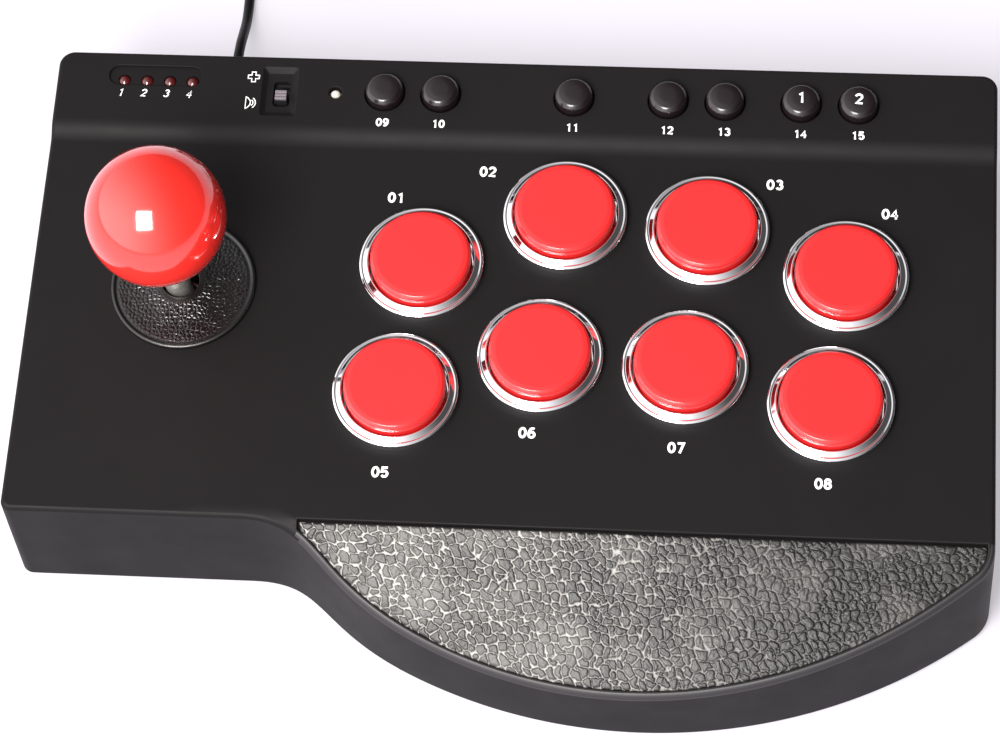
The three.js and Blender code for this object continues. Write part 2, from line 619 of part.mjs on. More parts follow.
const plugHeading = THREE.MathUtils.degToRad(PLUG.heading);
const tailRoute = [
  [COIL.x + 15, COIL.y + 26.4, 12.6], [-57, 225.1, 11.3], [-51, 224.3, 9.3], [-45, 222.9, 7.2],
  [-39.5, 221.0, 5.5], [-35, 219.2, 4.5], [PLUG.x - 4, PLUG.y + 1.1, 4.1],
  [PLUG.x - GAP * Math.cos(plugHeading), PLUG.y - GAP * Math.sin(plugHeading), 4.1],
];
add('cord_tail', tube(route(tailRoute), CORD_R, CORD_SIDES, 8), RUBBER);

// The plug lies flat, its strain relief towards the coil: relief, moulded grip, metal shell.
const relief = new THREE.CylinderGeometry(2.4, 3.2, 13, 12).rotateZ(Math.PI / 2).translate(6.5, 0, 0);
const plugBody = join([
  solid(relief),
  box(12, 44, -7.8, 7.8, -4, 4),
  box(43, 62.5, -6, 6, -2.25, 2.25),
]);
add('usb_plug', plugBody, RUBBER, [PLUG.x, PLUG.y, 4.1], plugHeading);

export default group;
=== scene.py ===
import math

import bmesh
import bpy
import numpy as np
from mathutils import Matrix, Quaternion, Vector
from mathutils.geometry import delaunay_2d_cdt


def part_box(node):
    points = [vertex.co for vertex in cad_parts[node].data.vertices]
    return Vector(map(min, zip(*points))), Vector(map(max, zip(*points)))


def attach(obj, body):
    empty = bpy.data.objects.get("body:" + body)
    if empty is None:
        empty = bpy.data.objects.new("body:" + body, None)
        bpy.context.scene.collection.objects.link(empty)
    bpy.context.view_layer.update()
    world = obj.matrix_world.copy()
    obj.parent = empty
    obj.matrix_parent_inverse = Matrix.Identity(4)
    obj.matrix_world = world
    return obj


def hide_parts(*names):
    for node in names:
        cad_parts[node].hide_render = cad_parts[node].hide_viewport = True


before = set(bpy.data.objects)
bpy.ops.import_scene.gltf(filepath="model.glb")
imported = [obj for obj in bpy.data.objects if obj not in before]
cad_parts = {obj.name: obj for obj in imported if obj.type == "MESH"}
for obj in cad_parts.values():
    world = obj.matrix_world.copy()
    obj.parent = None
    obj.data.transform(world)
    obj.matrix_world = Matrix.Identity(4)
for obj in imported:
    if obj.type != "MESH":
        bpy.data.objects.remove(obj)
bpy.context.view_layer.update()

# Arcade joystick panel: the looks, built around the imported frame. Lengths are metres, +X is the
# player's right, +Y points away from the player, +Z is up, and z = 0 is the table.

MM = 0.001
scene = bpy.context.scene

# ---------------------------------------------------------------- camera

CAMERA_PLACE = Vector((0.08948, -0.50762, 1.06767))
CAMERA_AZIMUTH = math.radians(10.2045)   # round from the front towards the right
CAMERA_TILT = math.radians(63.3036)      # below the horizon
CAMERA_ROLL = math.radians(7.2158)
LENS = 127.6


def make_camera():
    camera = bpy.data.objects.new("camera", bpy.data.cameras.new("camera"))
    scene.collection.objects.link(camera)
    ahead = Vector((
        -math.sin(CAMERA_AZIMUTH) * math.cos(CAMERA_TILT),
        math.cos(CAMERA_AZIMUTH) * math.cos(CAMERA_TILT),
        -math.sin(CAMERA_TILT),
    ))
    camera.rotation_mode = "QUATERNION"
    camera.rotation_quaternion = Quaternion(ahead, CAMERA_ROLL) @ ahead.to_track_quat("-Z", "Y")
    camera.location = CAMERA_PLACE
    camera.data.sensor_width = 36
    camera.data.lens = LENS
    camera.data.clip_start = 0.01
    scene.camera = camera


# ---------------------------------------------------------------- node materials

def node_adder(tree):
    """A function that adds a node, with links by input name and settings; in_NAME ones go to an input."""
    def add(kind, links=None, **settings):
        node = tree.nodes.new(kind)
        for key, value in settings.items():
            if key.startswith("in_"):
                node.inputs[key[3:].replace("_", " ")].default_value = value
            else:
                setattr(node, key, value)
        for key, source in (links or {}).items():
            tree.links.new(source, node.inputs[key])
        return node

    return add


def shader(name, roughness=0.5, metallic=0.0, specular=0.5):
    """A new material, with its Principled shader, the node adder and the function that links."""
    made = bpy.data.materials.new(name)
    made.use_nodes = True
    tree = made.node_tree
    bsdf = tree.nodes["Principled BSDF"]
    bsdf.inputs["Roughness"].default_value = roughness
    bsdf.inputs["Metallic"].default_value = metallic
    bsdf.inputs["Specular IOR Level"].default_value = specular
    bsdf.inputs["IOR"].default_value = 1.5
    return made, bsdf, node_adder(tree), tree.links.new


def stretched(add, stretch):
    """Object coordinates, scaled by a factor along each axis."""
    place = add("ShaderNodeTexCoord").outputs["Object"]
    if stretch == (1, 1, 1):
        return place
    return add("ShaderNodeMapping", {"Vector": place}, in_Scale=stretch).outputs["Vector"]


def noise_at(add, place, scale, detail=2.0, roughness=0.5):
    settings = {"in_Scale": scale, "in_Detail": detail, "in_Roughness": roughness}
    return add("ShaderNodeTexNoise", {"Vector": place}, **settings).outputs["Fac"]


def spread(add, value, low, high, start=0.3, end=0.7):
    """A 0..1 value mapped to low..high, with its middle part spread out."""
    limits = {"in_From_Min": start, "in_From_Max": end, "in_To_Min": low, "in_To_Max": high}
    return add("ShaderNodeMapRange", {"Value": value}, **limits).outputs["Result"]


def mixed(add, factor, first, second):
    settings = {"data_type": "RGBA", "in_A": (*first, 1), "in_B": (*second, 1)}
    return add("ShaderNodeMix", {"Factor": factor}, **settings).outputs["Result"]


def bumped(add, link, bsdf, height, strength, distance):
    bump = add("ShaderNodeBump", {"Height": height}, in_Strength=strength, in_Distance=distance)
    link(bump.outputs["Normal"], bsdf.inputs["Normal"])


def scaled(colour, factor):
    return tuple(min(1.0, c * factor) for c in colour)


def moulded(name, colour, roughness, metallic=0.0, specular=0.5, mottle=0.08, patch=45.0,
            spread_by=0.06, grain=None, coat=0.0, stretch=(1, 1, 1)):
    """Plastic, rubber or metal whose colour and gloss drift a little, with a grain of (scale, depth)."""
    made, bsdf, add, link = shader(name, roughness, metallic, specular)
    place = stretched(add, stretch)
    broad = noise_at(add, place, patch, 3.0)
    colours = scaled(colour, 1 - mottle), scaled(colour, 1 + mottle)
    link(mixed(add, broad, *colours), bsdf.inputs["Base Color"])
    narrow = noise_at(add, place, 3.3 * patch, 4.0, 0.6)
    gloss = spread(add, narrow, roughness - spread_by, roughness + spread_by)
    link(gloss, bsdf.inputs["Roughness"])
    bsdf.inputs["Coat Weight"].default_value = coat
    bsdf.inputs["Coat Roughness"].default_value = 0.03
    if grain:
        scale, depth = grain
        bumped(add, link, bsdf, noise_at(add, place, scale, 2.0, 0.6), 1.0, depth)
    return made


def leather_like(name, low, high, dull, bright, specular):
    """Embossed plastic: the mesh's "sheen" attribute leads from the dull to the bright look."""
    made, bsdf, add, link = shader(name, 0.4, 0.0, specular)
    sheen_level = add("ShaderNodeAttribute", attribute_name="sheen").outputs["Fac"]
    place = stretched(add, (1, 1, 1))
    drift = noise_at(add, place, 60.0, 3.0)
    tint = add("ShaderNodeMath", {0: sheen_level}, operation="MULTIPLY_ADD")
    link(spread(add, drift, -0.12, 0.12), tint.inputs[2])
    tint.inputs[1].default_value = 0.9
    link(mixed(add, tint.outputs[0], low, high), bsdf.inputs["Base Color"])
    link(spread(add, sheen_level, dull, bright, 0.0, 1.0), bsdf.inputs["Roughness"])
    bumped(add, link, bsdf, noise_at(add, place, 2600.0, 2.0, 0.6), 0.6, 0.00006)
    return made


BOARD_COLOURS = {
    "Color1": (0.010, 0.075, 0.032),
    "Color2": (0.013, 0.090, 0.040),
    "Mortar": (0.030, 0.150, 0.070),
}


def board_like(material_name):
    """A printed circuit board: green mask over lighter tracks."""
    made, bsdf, add, link = shader(material_name, 0.35)
    place = stretched(add, (1, 1, 1))
    settings = {"offset": 0.5, "in_Scale": 160.0, "in_Mortar_Size": 0.04}
    for name, colour in BOARD_COLOURS.items():
        settings[f"in_{name}"] = (*colour, 1)
    cells = add("ShaderNodeTexBrick", {"Vector": place}, **settings)
    link(cells.outputs["Color"], bsdf.inputs["Base Color"])
    link(spread(add, noise_at(add, place, 200.0), 0.28, 0.42), bsdf.inputs["Roughness"])
    return made


def lens_like(name, colour, transmission, roughness):
    made, bsdf, add, link = shader(name, roughness, specular=0.6)
    place = stretched(add, (1, 1, 1))
    cloud = noise_at(add, place, 900.0, 2.0)
    link(mixed(add, cloud, scaled(colour, 0.8), scaled(colour, 1.2)), bsdf.inputs["Base Color"])
    bsdf.inputs["Transmission Weight"].default_value = transmission
    bsdf.inputs["Coat Weight"].default_value = 0.4
    return made


SHELL = moulded("shell_plastic", (0.0070, 0.0062, 0.0066), 0.54, specular=0.11, mottle=0.12, patch=14.0,
                spread_by=0.05, grain=(2400.0, 0.00003))
# The palm rest's rim: glossier than the shell, and its base colour doubled as a painted highlight line.
RIM_PAINTED_HIGHLIGHT = moulded("rim_plastic_painted_highlight", (0.0140, 0.0125, 0.0145), 0.44, specular=0.42, mottle=0.12, patch=14.0,
              spread_by=0.05, grain=(2400.0, 0.00003))
BASE = moulded("base_plastic", (0.0080, 0.0074, 0.0076), 0.60, specular=0.15, mottle=0.10, patch=20.0,
               grain=(1100.0, 0.00006))
# The pad's high colour is a painted sheen: it lightens the grain's valley floors where the sheen attribute
# is high.
PALM = leather_like("palm_vinyl", (0.006, 0.0058, 0.0054), (0.290, 0.278, 0.262), 0.40, 0.34, 0.36)
WASHER_SKIN = leather_like("washer_plastic", (0.0028, 0.0025, 0.0024), (0.0044, 0.0040, 0.0038),
                           0.30, 0.13, 0.65)
RED = moulded("red_plastic", (0.560, 0.0165, 0.0175), 0.20, mottle=0.03, patch=60.0, spread_by=0.03,
              coat=0.2)
BALL_RED = moulded("ball_plastic", (0.680, 0.0230, 0.0170), 0.12, mottle=0.03, patch=40.0,
                   spread_by=0.02, coat=0.7)
KEY = moulded("key_plastic", (0.0075, 0.0045, 0.0055), 0.22, mottle=0.10, patch=90.0, spread_by=0.04,
              coat=0.15)
CHROME = moulded("chrome_plate", (0.86, 0.86, 0.87), 0.055, 1.0, mottle=0.02, patch=80.0, spread_by=0.02)
STEEL = moulded("ground_steel", (0.70, 0.68, 0.63), 0.30, 0.82, mottle=0.03, patch=60.0,
                grain=(900.0, 0.000004), stretch=(1, 1, 8))
ZINC = moulded("zinc_plated_steel", (0.55, 0.54, 0.50), 0.34, 1.0, mottle=0.10, patch=150.0,
               spread_by=0.08)
MECHANISM = moulded("mechanism_nylon", (0.045, 0.045, 0.048), 0.48, patch=60.0, grain=(900.0, 0.00004))
SWITCH = moulded("switch_phenolic", (0.015, 0.015, 0.017), 0.42, mottle=0.10, patch=120.0,
                 grain=(1500.0, 0.00003))
KNOB = moulded("knob_plastic", (0.15, 0.125, 0.145), 0.40, mottle=0.06, patch=300.0,
               grain=(3000.0, 0.00002))
BOARD = board_like("circuit_board")
RED_LENS = lens_like("red_lens", (0.075, 0.005, 0.004), 0.2, 0.10)
CLEAR_LENS = lens_like("clear_lens", (0.62, 0.58, 0.52), 0.15, 0.14)
RUBBER = moulded("black_rubber", (0.018, 0.018, 0.019), 0.66, specular=0.4, mottle=0.12, patch=90.0,
                 grain=(1800.0, 0.00005))
SHEATH = moulded("cord_sheath", (0.005, 0.0045, 0.005), 0.42, specular=0.2, mottle=0.10, patch=120.0,
                 grain=(2500.0, 0.00003))
SILICONE = moulded("silicone", (0.42, 0.42, 0.40), 0.60, mottle=0.06, patch=120.0,
                   grain=(1500.0, 0.00003))
PRINT = moulded("white_print", (0.86, 0.86, 0.85), 0.45, mottle=0.04, patch=500.0)


# ---------------------------------------------------------------- mesh tools

class Skin:
    """Points and faces of one mesh. Loops of points are bridged to each other or filled."""

    def __init__(self):
        self.points = []
        self.faces = []

    def loop(self, points):
        first = len(self.points)
        self.points.extend(tuple(p) for p in points)
        return list(range(first, len(self.points)))

    def bridge(self, first, second, closed=True):
        count = len(first)
        for i in range(count if closed else count - 1):
            j = (i + 1) % count
            self.faces.append((first[i], first[j], second[j], second[i]))

    def strip(self, loops, closed=True):
        for first, second in zip(loops, loops[1:]):
            self.bridge(first, second, closed)

    def fill(self, outer, holes=(), height=None, creases=(), extra=()):
        """Triangles over the plan of the outer loop, less the holes. New points take height(x, y)."""
        loops = [outer, *holes]
        known = [i for loop in loops for i in loop]
        number = {index: k for k, index in enumerate(known)}
        flat = [Vector(self.points[i][:2]) / MM for i in known]
        flat += [Vector(p) / MM for p in extra]
        edges = [(number[loop[i - 1]], number[loop[i]]) for loop in loops for i in range(len(loop))]
        edges += [(number[a], number[b]) for a, b in creases]
        places, _, triangles, origins, *_ = delaunay_2d_cdt(flat, edges, [], 0, 1e-5)
        index = []
        for place, origin in zip(places, origins):
            old = [k for k in origin if k < len(known)]
            if old:
                index.append(known[old[0]])
            else:
                x, y = place[0] * MM, place[1] * MM
                index.append(len(self.points))
                self.points.append((x, y, height(x, y)))
        corners = np.array([[places[k] for k in t] for t in triangles])
        plans = [[Vector(self.points[i][:2]) / MM for i in loop] for loop in loops]
        inside = within(corners.mean(1), plans)
        for triangle, keep in zip(triangles, inside):
            if keep:
                self.faces.append(tuple(index[k] for k in triangle))


def within(places, loops):
    """Whether each place lies inside an odd number of the loops."""
    starts = np.array([p for loop in loops for p in loop], float)
    ends = np.array([p for loop in loops for p in loop[1:] + loop[:1]], float)
    x, y = places[:, :1], places[:, 1:2]
    spans = (starts[:, 1] > y) != (ends[:, 1] > y)
    rise = np.where(ends[:, 1] == starts[:, 1], 1.0, ends[:, 1] - starts[:, 1])
    crossing = starts[:, 0] + (y - starts[:, 1]) * (ends[:, 0] - starts[:, 0]) / rise
    return (spans & (x < crossing)).sum(1) % 2 == 1


def normals_of(points):
    """Outward direction at each point of a counter-clockwise loop, long enough to shift edges by 1."""
    after = [*points[1:], points[0]]
    edge = [(Vector(b) - Vector(a)).normalized() for a, b in zip(points, after)]
    out = []
    for a, b in zip([edge[-1], *edge], edge):
        first, second = Vector((a.y, -a.x)), Vector((b.y, -b.x))
        out.append((first + second) / (1 + first.dot(second)))
    return out


def shifted(points, by):
    """A counter-clockwise plan loop with its edges moved outwards."""
    return [Vector(p) + n * by for p, n in zip(points, normals_of(points))]


def arc(x, y, radius, start, end, steps):
    turns = [start + (end - start) * i / steps for i in range(steps + 1)]
    return [Vector((x + radius * math.cos(t), y + radius * math.sin(t))) for t in turns]


def circle(x, y, radius, count=48):
    return arc(x, y, radius, 0, 2 * math.pi * (1 - 1 / count), count - 1)


def rounded(corners, steps=6):
    """A path through (a, b, radius) corners, each rounded by its radius."""
    path = []
    for i, (a, b, radius) in enumerate(corners):
        here = Vector((a, b))
        if radius <= 0 or i in (0, len(corners) - 1):
            path.append(here)
            continue
        back = (Vector(corners[i - 1][:2]) - here).normalized()
        ahead = (Vector(corners[i + 1][:2]) - here).normalized()
        half = math.acos(max(-1, min(1, back.dot(ahead)))) / 2
        reach = radius / math.tan(half)
        middle = here + (back + ahead).normalized() * (radius / math.sin(half))
        start, end = here + back * reach - middle, here + ahead * reach - middle
        turn = start.angle_signed(end)
        for k in range(steps + 1):
            path.append(middle + Matrix.Rotation(-turn * k / steps, 2) @ start)
    return path


def profile(corners, steps=4):
    """A rounded path, from (radius, height, rounding) corners in millimetres."""
    return rounded([(r * MM, z * MM, rounding * MM) for r, z, rounding in corners], steps)


def coloured(obj, material):
    obj.data.materials.clear()
    obj.data.materials.append(material)


def finished(obj, material, body, slot, stands_for=(), crisp=38.0, weighted=True):
    """Gives an object its material, smooth shading with crisp edges and its body. The slot is not used."""
    if obj.type == "MESH":
        obj.data.shade_smooth()
        obj.data.set_sharp_from_angle(angle=math.radians(crisp))
        if weighted:
            modifier = obj.modifiers.new("normals", "WEIGHTED_NORMAL")
            modifier.keep_sharp = True
            modifier.weight = 80
    coloured(obj, material)
    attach(obj, body)
    if stands_for:
        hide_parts(*stands_for)
    return obj


def from_skin(name, skin):
    mesh = bpy.data.meshes.new(name)
    mesh.from_pydata(skin.points, [], skin.faces)
    tidy = bmesh.new()
    tidy.from_mesh(mesh)
    bmesh.ops.remove_doubles(tidy, verts=tidy.verts, dist=1e-7)
    bmesh.ops.recalc_face_normals(tidy, faces=tidy.faces)
    tidy.to_mesh(mesh)
    tidy.free()
    obj = bpy.data.objects.new(name, mesh)
    scene.collection.objects.link(obj)
    return obj


def turned_into(skin, path, at, count=64, along="z"):
    """Turns a path of (radius, height) about an axis through at. Where it meets the axis it is closed."""
    x, y, z = at
    turns = [2 * math.pi * k / count for k in range(count)]
    previous = None
    for radius, height in path:
        if radius < 1e-9:
            ring = [(0.0, 0.0, height)]
        else:
            ring = [(radius * math.cos(t), radius * math.sin(t), height) for t in turns]
        if along == "y":
            ring = [(a, c, b) for a, b, c in ring]
        loop = skin.loop((x + a, y + b, z + c) for a, b, c in ring)
        if previous is not None:
            if len(previous) == 1 and len(loop) > 1:
                skin.faces += [(loop[i], loop[(i + 1) % count], previous[0]) for i in range(count)]
            elif len(loop) == 1 and len(previous) > 1:
                skin.faces += [(previous[i], previous[(i + 1) % count], loop[0]) for i in range(count)]
            elif len(loop) > 1:
                skin.bridge(previous, loop)
        previous = loop


def give_sheen(obj, values):
    """Stores the sheen that leather_like reads, for as many vertices as there are values."""
    full = np.zeros(len(obj.data.vertices), np.float32)
    full[:len(values)] = values[:len(full)]
    obj.data.attributes.new("sheen", "FLOAT", "POINT").data.foreach_set("value", full)


def turned(name, path, at, count=64, along="z"):
    skin = Skin()
    turned_into(skin, path, at, count, along)
    return from_skin(name, skin)


def block_into(skin, low, high, radius, steps=3):
    """A box with rounded edges, between two corners, in millimetres."""
    box = bmesh.new()
    bmesh.ops.create_cube(box, size=1)
    low, high = Vector(low) * MM, Vector(high) * MM
    for v in box.verts:
        v.co = low + Vector(((v.co[k] + 0.5) * (high - low)[k] for k in range(3)))
    settings = {"offset": radius * MM, "segments": steps, "profile": 0.5, "affect": "EDGES"}
    bmesh.ops.bevel(box, geom=box.edges[:], **settings)
    first = len(skin.points)
    box.verts.index_update()
    skin.points += [tuple(v.co) for v in box.verts]
    skin.faces += [tuple(v.index + first for v in f.verts) for f in box.faces]
    box.free()


def set_apart(skin, first, matrix):
    """Moves the points added since number first."""
    skin.points[first:] = [tuple(matrix @ Vector(p)) for p in skin.points[first:]]


def centre_of(node):
    low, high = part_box(node)
    return (low.x + high.x) / 2, (low.y + high.y) / 2


def box_in_mm(node):
    low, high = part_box(node)
    return low / MM, high / MM


# ---------------------------------------------------------------- lead, coil and plug

CORD_RADIUS = 1.8 * MM
EXIT = (-0.1035, 0.1223, 0.016)
LEAD_ROUTE = [
    EXIT, (-0.1036, 0.127, 0.0159), (-0.1037, 0.132, 0.0150), (-0.1038, 0.138, 0.0126),
    (-0.1039, 0.144, 0.0091), (-0.1040, 0.150, 0.0056), (-0.1042, 0.156, 0.0031),
    (-0.1044, 0.162, 0.0020), (-0.1045, 0.168, 0.0019), (-0.1046, 0.174, 0.0019),
    (-0.1046, 0.179, 0.0019), (-0.1046, 0.1875, 0.0019), (-0.10465, 0.194, 0.0019),
]
TAIL_ROUTE = [
    (-0.0707, 0.2254, 0.0127), (-0.0632, 0.2254, 0.0126), (-0.057, 0.2251, 0.0113),
    (-0.051, 0.2243, 0.0093), (-0.045, 0.2229, 0.0072), (-0.0395, 0.2210, 0.0055),
    (-0.035, 0.2192, 0.0045), (-0.031, 0.2176, 0.0041), (-0.02729, 0.21658, 0.0041),
]
COIL_LAYERS = 4
TURNS_PER_LAYER = 3
LAST_TURN = 0.25              # of a turn, on top of the full layers
CLIMB = 0.2                   # of a turn, spent on the step up to the next layer
POINTS_PER_TURN = 24


def coil_line():
    """Flat spirals on top of each other, winding inwards and outwards in turn, wound clockwise."""
    low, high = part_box("cord_coil")
    middle = (low + high) / 2
    reach = (TURNS_PER_LAYER - CLIMB) * CORD_RADIUS     # half the radial way that a layer covers
    outer = (high.x - low.x) / 2 - CORD_RADIUS
    points = []
    steps = int((COIL_LAYERS * TURNS_PER_LAYER + LAST_TURN) * POINTS_PER_TURN)
    for i in range(steps + 1):
        turns = i / POINTS_PER_TURN
        layer = min(int(turns // TURNS_PER_LAYER), COIL_LAYERS)
        done = turns - layer * TURNS_PER_LAYER
        along = max(0.0, done - CLIMB) / (TURNS_PER_LAYER - CLIMB)
        inward = along if layer % 2 == 0 else 1 - along
        ease = min(1.0, done / CLIMB)
        step = ease * ease * (3 - 2 * ease) - 1 if 0 < layer < COIL_LAYERS else 0
        level = min(layer, COIL_LAYERS - 1) + step
        angle = math.pi - 2 * math.pi * turns
        radius = outer - 2 * reach * inward
        z = low.z + CORD_RADIUS * (1 + 2 * level)
        points.append((middle.x + radius * math.cos(angle), middle.y + radius * math.sin(angle), z))
    return points


def smooth_line(points, steps=4):
    """Points along a smooth curve through given points."""
    p = [Vector(q) for q in points]
    p = [2 * p[0] - p[1], *p, 2 * p[-1] - p[-2]]
    line = []
    for a, b, c, d in zip(p, p[1:], p[2:], p[3:]):
        for k in range(steps):
            t = k / steps
            line.append(0.5 * (2 * b + (c - a) * t + (2 * a - 5 * b + 4 * c - d) * t * t
                               + (3 * b - a - 3 * c + d) * t ** 3))
    return [*line, p[-2]]


def make_cord():
    line = [*smooth_line(LEAD_ROUTE), *(Vector(p) for p in coil_line()), *smooth_line(TAIL_ROUTE)]
    curve = bpy.data.curves.new("cord", "CURVE")
    curve.dimensions = "3D"
    curve.bevel_depth = CORD_RADIUS
    curve.bevel_resolution = 5
    curve.use_fill_caps = True
    spline = curve.splines.new("POLY")
    spline.points.add(len(line) - 1)
    for point, place in zip(spline.points, line):
        point.co = (*place, 1)
    spline.use_smooth = True
    cord = bpy.data.objects.new("cord", curve)
    scene.collection.objects.link(cord)
    length = sum((b - a).length for a, b in zip(line, line[1:]))
    finished(cord, SHEATH, "root", "rubber", ("cord_lead", "cord_coil", "cord_tail"))
    return cord, length


PLUG_HEADING = math.radians(-15)
PLUG_GAP = 0.3 * MM


def plug_piece(skin, name, material, slot, stands_for=()):
    """Lays a plug piece on the table. Its own +X runs from the cord's end to the metal shell."""
    heading = Vector((math.cos(PLUG_HEADING), math.sin(PLUG_HEADING), 0))
    place = Matrix.Translation(Vector(TAIL_ROUTE[-1]) + PLUG_GAP * heading)
    set_apart(skin, 0, place @ Matrix.Rotation(PLUG_HEADING, 4, "Z"))
    return finished(from_skin(name, skin), material, "root", slot, stands_for)


def make_plug():
    """A moulded grip with a ribbed strain relief, and an open metal shell with its tongue inside."""
    grip = Skin()
    relief = [(0, 0, 0)]
    for k in range(5):
        radius = 2.3 + 0.2 * k
        start = 0.2 + 2.5 * k
        relief += [(radius, start, 0.3), (radius, start + 1.6, 0.3)]
        relief += [(1.95, start + 1.8, 0.1), (1.95, start + 2.3, 0.1)]
    relief.append((0, 12.6, 0))
    turned_into(grip, [(r, -h) for r, h in profile(relief, 3)], (0, 0, 0), 32)
    set_apart(grip, 0, Matrix.Rotation(math.radians(-90), 4, "Y"))
    block_into(grip, (12, -7.7, -3.9), (44, 7.7, 3.9), 1.6, 5)
    for k in range(7):
        x = 20 + 2.6 * k
        for near, far in ((-7.9, -7.5), (7.5, 7.9)):
            block_into(grip, (x, near, -2.4), (x + 1.1, far, 2.4), 0.15, 2)
    body = plug_piece(grip, "plug_grip", RUBBER, "rubber", ("usb_plug",))

    metal = Skin()
    outer = rounded_rectangle(12 * MM, 4.5 * MM, 0.7 * MM)
    inner = rounded_rectangle(11.4 * MM, 3.9 * MM, 0.45 * MM)
    loops = []
    for outline, x in ((outer, 43.6), (outer, 62.3), (inner, 62.5), (inner, 46.0)):
        loops.append(metal.loop((x * MM, p.x, p.y) for p in outline))
    metal.strip([*loops, loops[0]])
    for y in (-3.0, 3.0):
        block_into(metal, (53, y - 1.2, 2.2), (56, y + 1.2, 2.3), 0.04, 1)
    shell = plug_piece(metal, "plug_shell", ZINC, "steel")

    tongue = Skin()
    block_into(tongue, (46, -5.3, -1.7), (61.5, 5.3, 0.1), 0.2, 2)
    return [body, shell, plug_piece(tongue, "plug_tongue", SILICONE, "silicone")]


def rounded_rectangle(width, length, radius, steps=5):
    x, y = width / 2 - radius, length / 2 - radius
    points = []
    for quarter, (cx, cy) in enumerate(((x, y), (-x, y), (-x, -y), (x, -y))):
        points += arc(cx, cy, radius, quarter * math.pi / 2, (quarter + 1) * math.pi / 2, steps)
    return points


def make_gland():
    """The moulded strain relief where the lead leaves the back wall."""
    low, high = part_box("cable_gland")
    x, z = (low.x + high.x) / 2, (low.z + high.z) / 2
    back = (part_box("top_shell")[1].y - low.y) / MM
    length = (high.y - low.y) / MM
    path = [(0, 0, 0), (5.4, 0, 0.3), (5.4, 1.4, 0.2), (3.7, 1.4, 0), (3.7, back - 0.2, 0),
            (4.6, back - 0.1, 0.3), (4.6, back + 1.6, 0.4)]
    ribs = 4
    start = back + 1.8
    pitch = (length - start) / ribs
    for k in range(ribs):
        radius = 3.3 - 0.26 * k
        y = start + k * pitch
        path += [(2.5, y, 0.1), (2.5, y + 0.25 * pitch, 0.1)]
        path += [(radius, y + 0.35 * pitch, 0.25), (radius, y + 0.95 * pitch, 0.25)]
    path.append((0, length, 0))
    gland = turned("strain_relief", profile(path, 3), (x, low.y, z), 40, "y")
    return finished(gland, RUBBER, "root", "rubber", ("cable_gland",))


make_camera()
gland = make_gland()
plug = make_plug()
cord, cord_length = make_cord()

# ---------------------------------------------------------------- housing

FOOT_Z = 2.5 * MM
PANEL_Z = 52 * MM
DRAFT = 1.2 * MM
WALL = 3.2 * MM
STRIP_CEILING_Z = 51.8 * MM
PALM_BACK_Y = -60.2 * MM
PALM_LEFT_X = -61.5 * MM
PALM_SLOPE = 0.45
PALM_TWIST = -1.0             # per metre
PALM_RIM = 2.4 * MM
PAD_DEPTH = 0.9 * MM
RECESS_DEPTH = 2.4 * MM
STRIP_FOOT_Y = 76.3 * MM
STRIP_TOP_Y = 79.6 * MM
STRIP_RISE = 2.5 * MM
STRIP_SLOPE = 0.8 / 27.9
BULGE = (46.55 * MM, 63.75 * MM, 172.5 * MM)
BULGE_START = math.radians(-114.3)
FRONT_LEFT_Y = -61.5 * MM
S_CURVE_START_X = -81.2 * MM
S_CURVE_HANDLES = (25.3 * MM, 39 * MM)
FRONT_LEFT_RADIUS = 4 * MM
BACK_RADIUS = 6.5 * MM
RIGHT_FRONT_RADIUS = 13 * MM
KINK = 2.4 * MM               # half the width over which the strip's edges are rounded
WALL_FOOT = 0.45 * MM         # rounding of the wall's lower edge
EDGE_RADIUS = 1.4 * MM
RIM_RADIUS = 1.6 * MM
FILLET_STEPS = 8
WALL_STRIPS = 8               # strips of faces on the wall, below the rounded top edge

shell_low, shell_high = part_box("top_shell")
HALF_WIDTH = shell_high.x
BACK_Y = shell_high.y
STRIP_KINKS = sorted(y + KINK * k for y in (STRIP_FOOT_Y, STRIP_TOP_Y) for k in (-1, -0.5, 0, 0.5, 1))


def bezier(a, b, c, d, t):
    s = 1 - t
    return a * s ** 3 + 3 * b * s * s * t + 3 * c * s * t * t + d * t ** 3


def housing_outline():
    """Plan of the walls at their foot, counter-clockwise from the front left corner."""
    pi = math.pi
    x, y, r = BULGE
    left_x, left_y = -HALF_WIDTH + FRONT_LEFT_RADIUS, FRONT_LEFT_Y + FRONT_LEFT_RADIUS
    left = arc(left_x, left_y, FRONT_LEFT_RADIUS, pi, 1.5 * pi, 10)
    start = Vector((S_CURVE_START_X, FRONT_LEFT_Y))
    end = Vector((x + r * math.cos(BULGE_START), y + r * math.sin(BULGE_START)))
    tangent = Vector((-math.sin(BULGE_START), math.cos(BULGE_START)))
    handles = (start + Vector((S_CURVE_HANDLES[0], 0)), end - tangent * S_CURVE_HANDLES[1])
    s_curve = [bezier(start, *handles, end, i / 30) for i in range(30)]

    corner_x = HALF_WIDTH - RIGHT_FRONT_RADIUS
    corner_y = y - math.sqrt((r - RIGHT_FRONT_RADIUS) ** 2 - (corner_x - x) ** 2)
    bulge_end = math.atan2(corner_y - y, corner_x - x)
    bulge = arc(x, y, r, BULGE_START, bulge_end, 90)
    front_right = arc(corner_x, corner_y, RIGHT_FRONT_RADIUS, bulge_end, 0, 20)[1:]

    back_x, back_y = HALF_WIDTH - BACK_RADIUS, BACK_Y - BACK_RADIUS
    right_ys = [PALM_BACK_Y, 0, 50 * MM, *STRIP_KINKS]
    left_ys = [*reversed(STRIP_KINKS), 50 * MM, 0, -40 * MM]
    right_wall = [Vector((HALF_WIDTH, wall_y)) for wall_y in right_ys]
    left_wall = [Vector((-HALF_WIDTH, wall_y)) for wall_y in left_ys]
    straight = [Vector((wall_x, FRONT_LEFT_Y)) for wall_x in (-130 * MM, -108 * MM)]
    return [*left, *straight, *s_curve, *bulge, *front_right, *right_wall,
            *arc(back_x, back_y, BACK_RADIUS, 0, pi / 2, 12),
            *arc(-back_x, back_y, BACK_RADIUS, pi / 2, pi, 12), *left_wall]


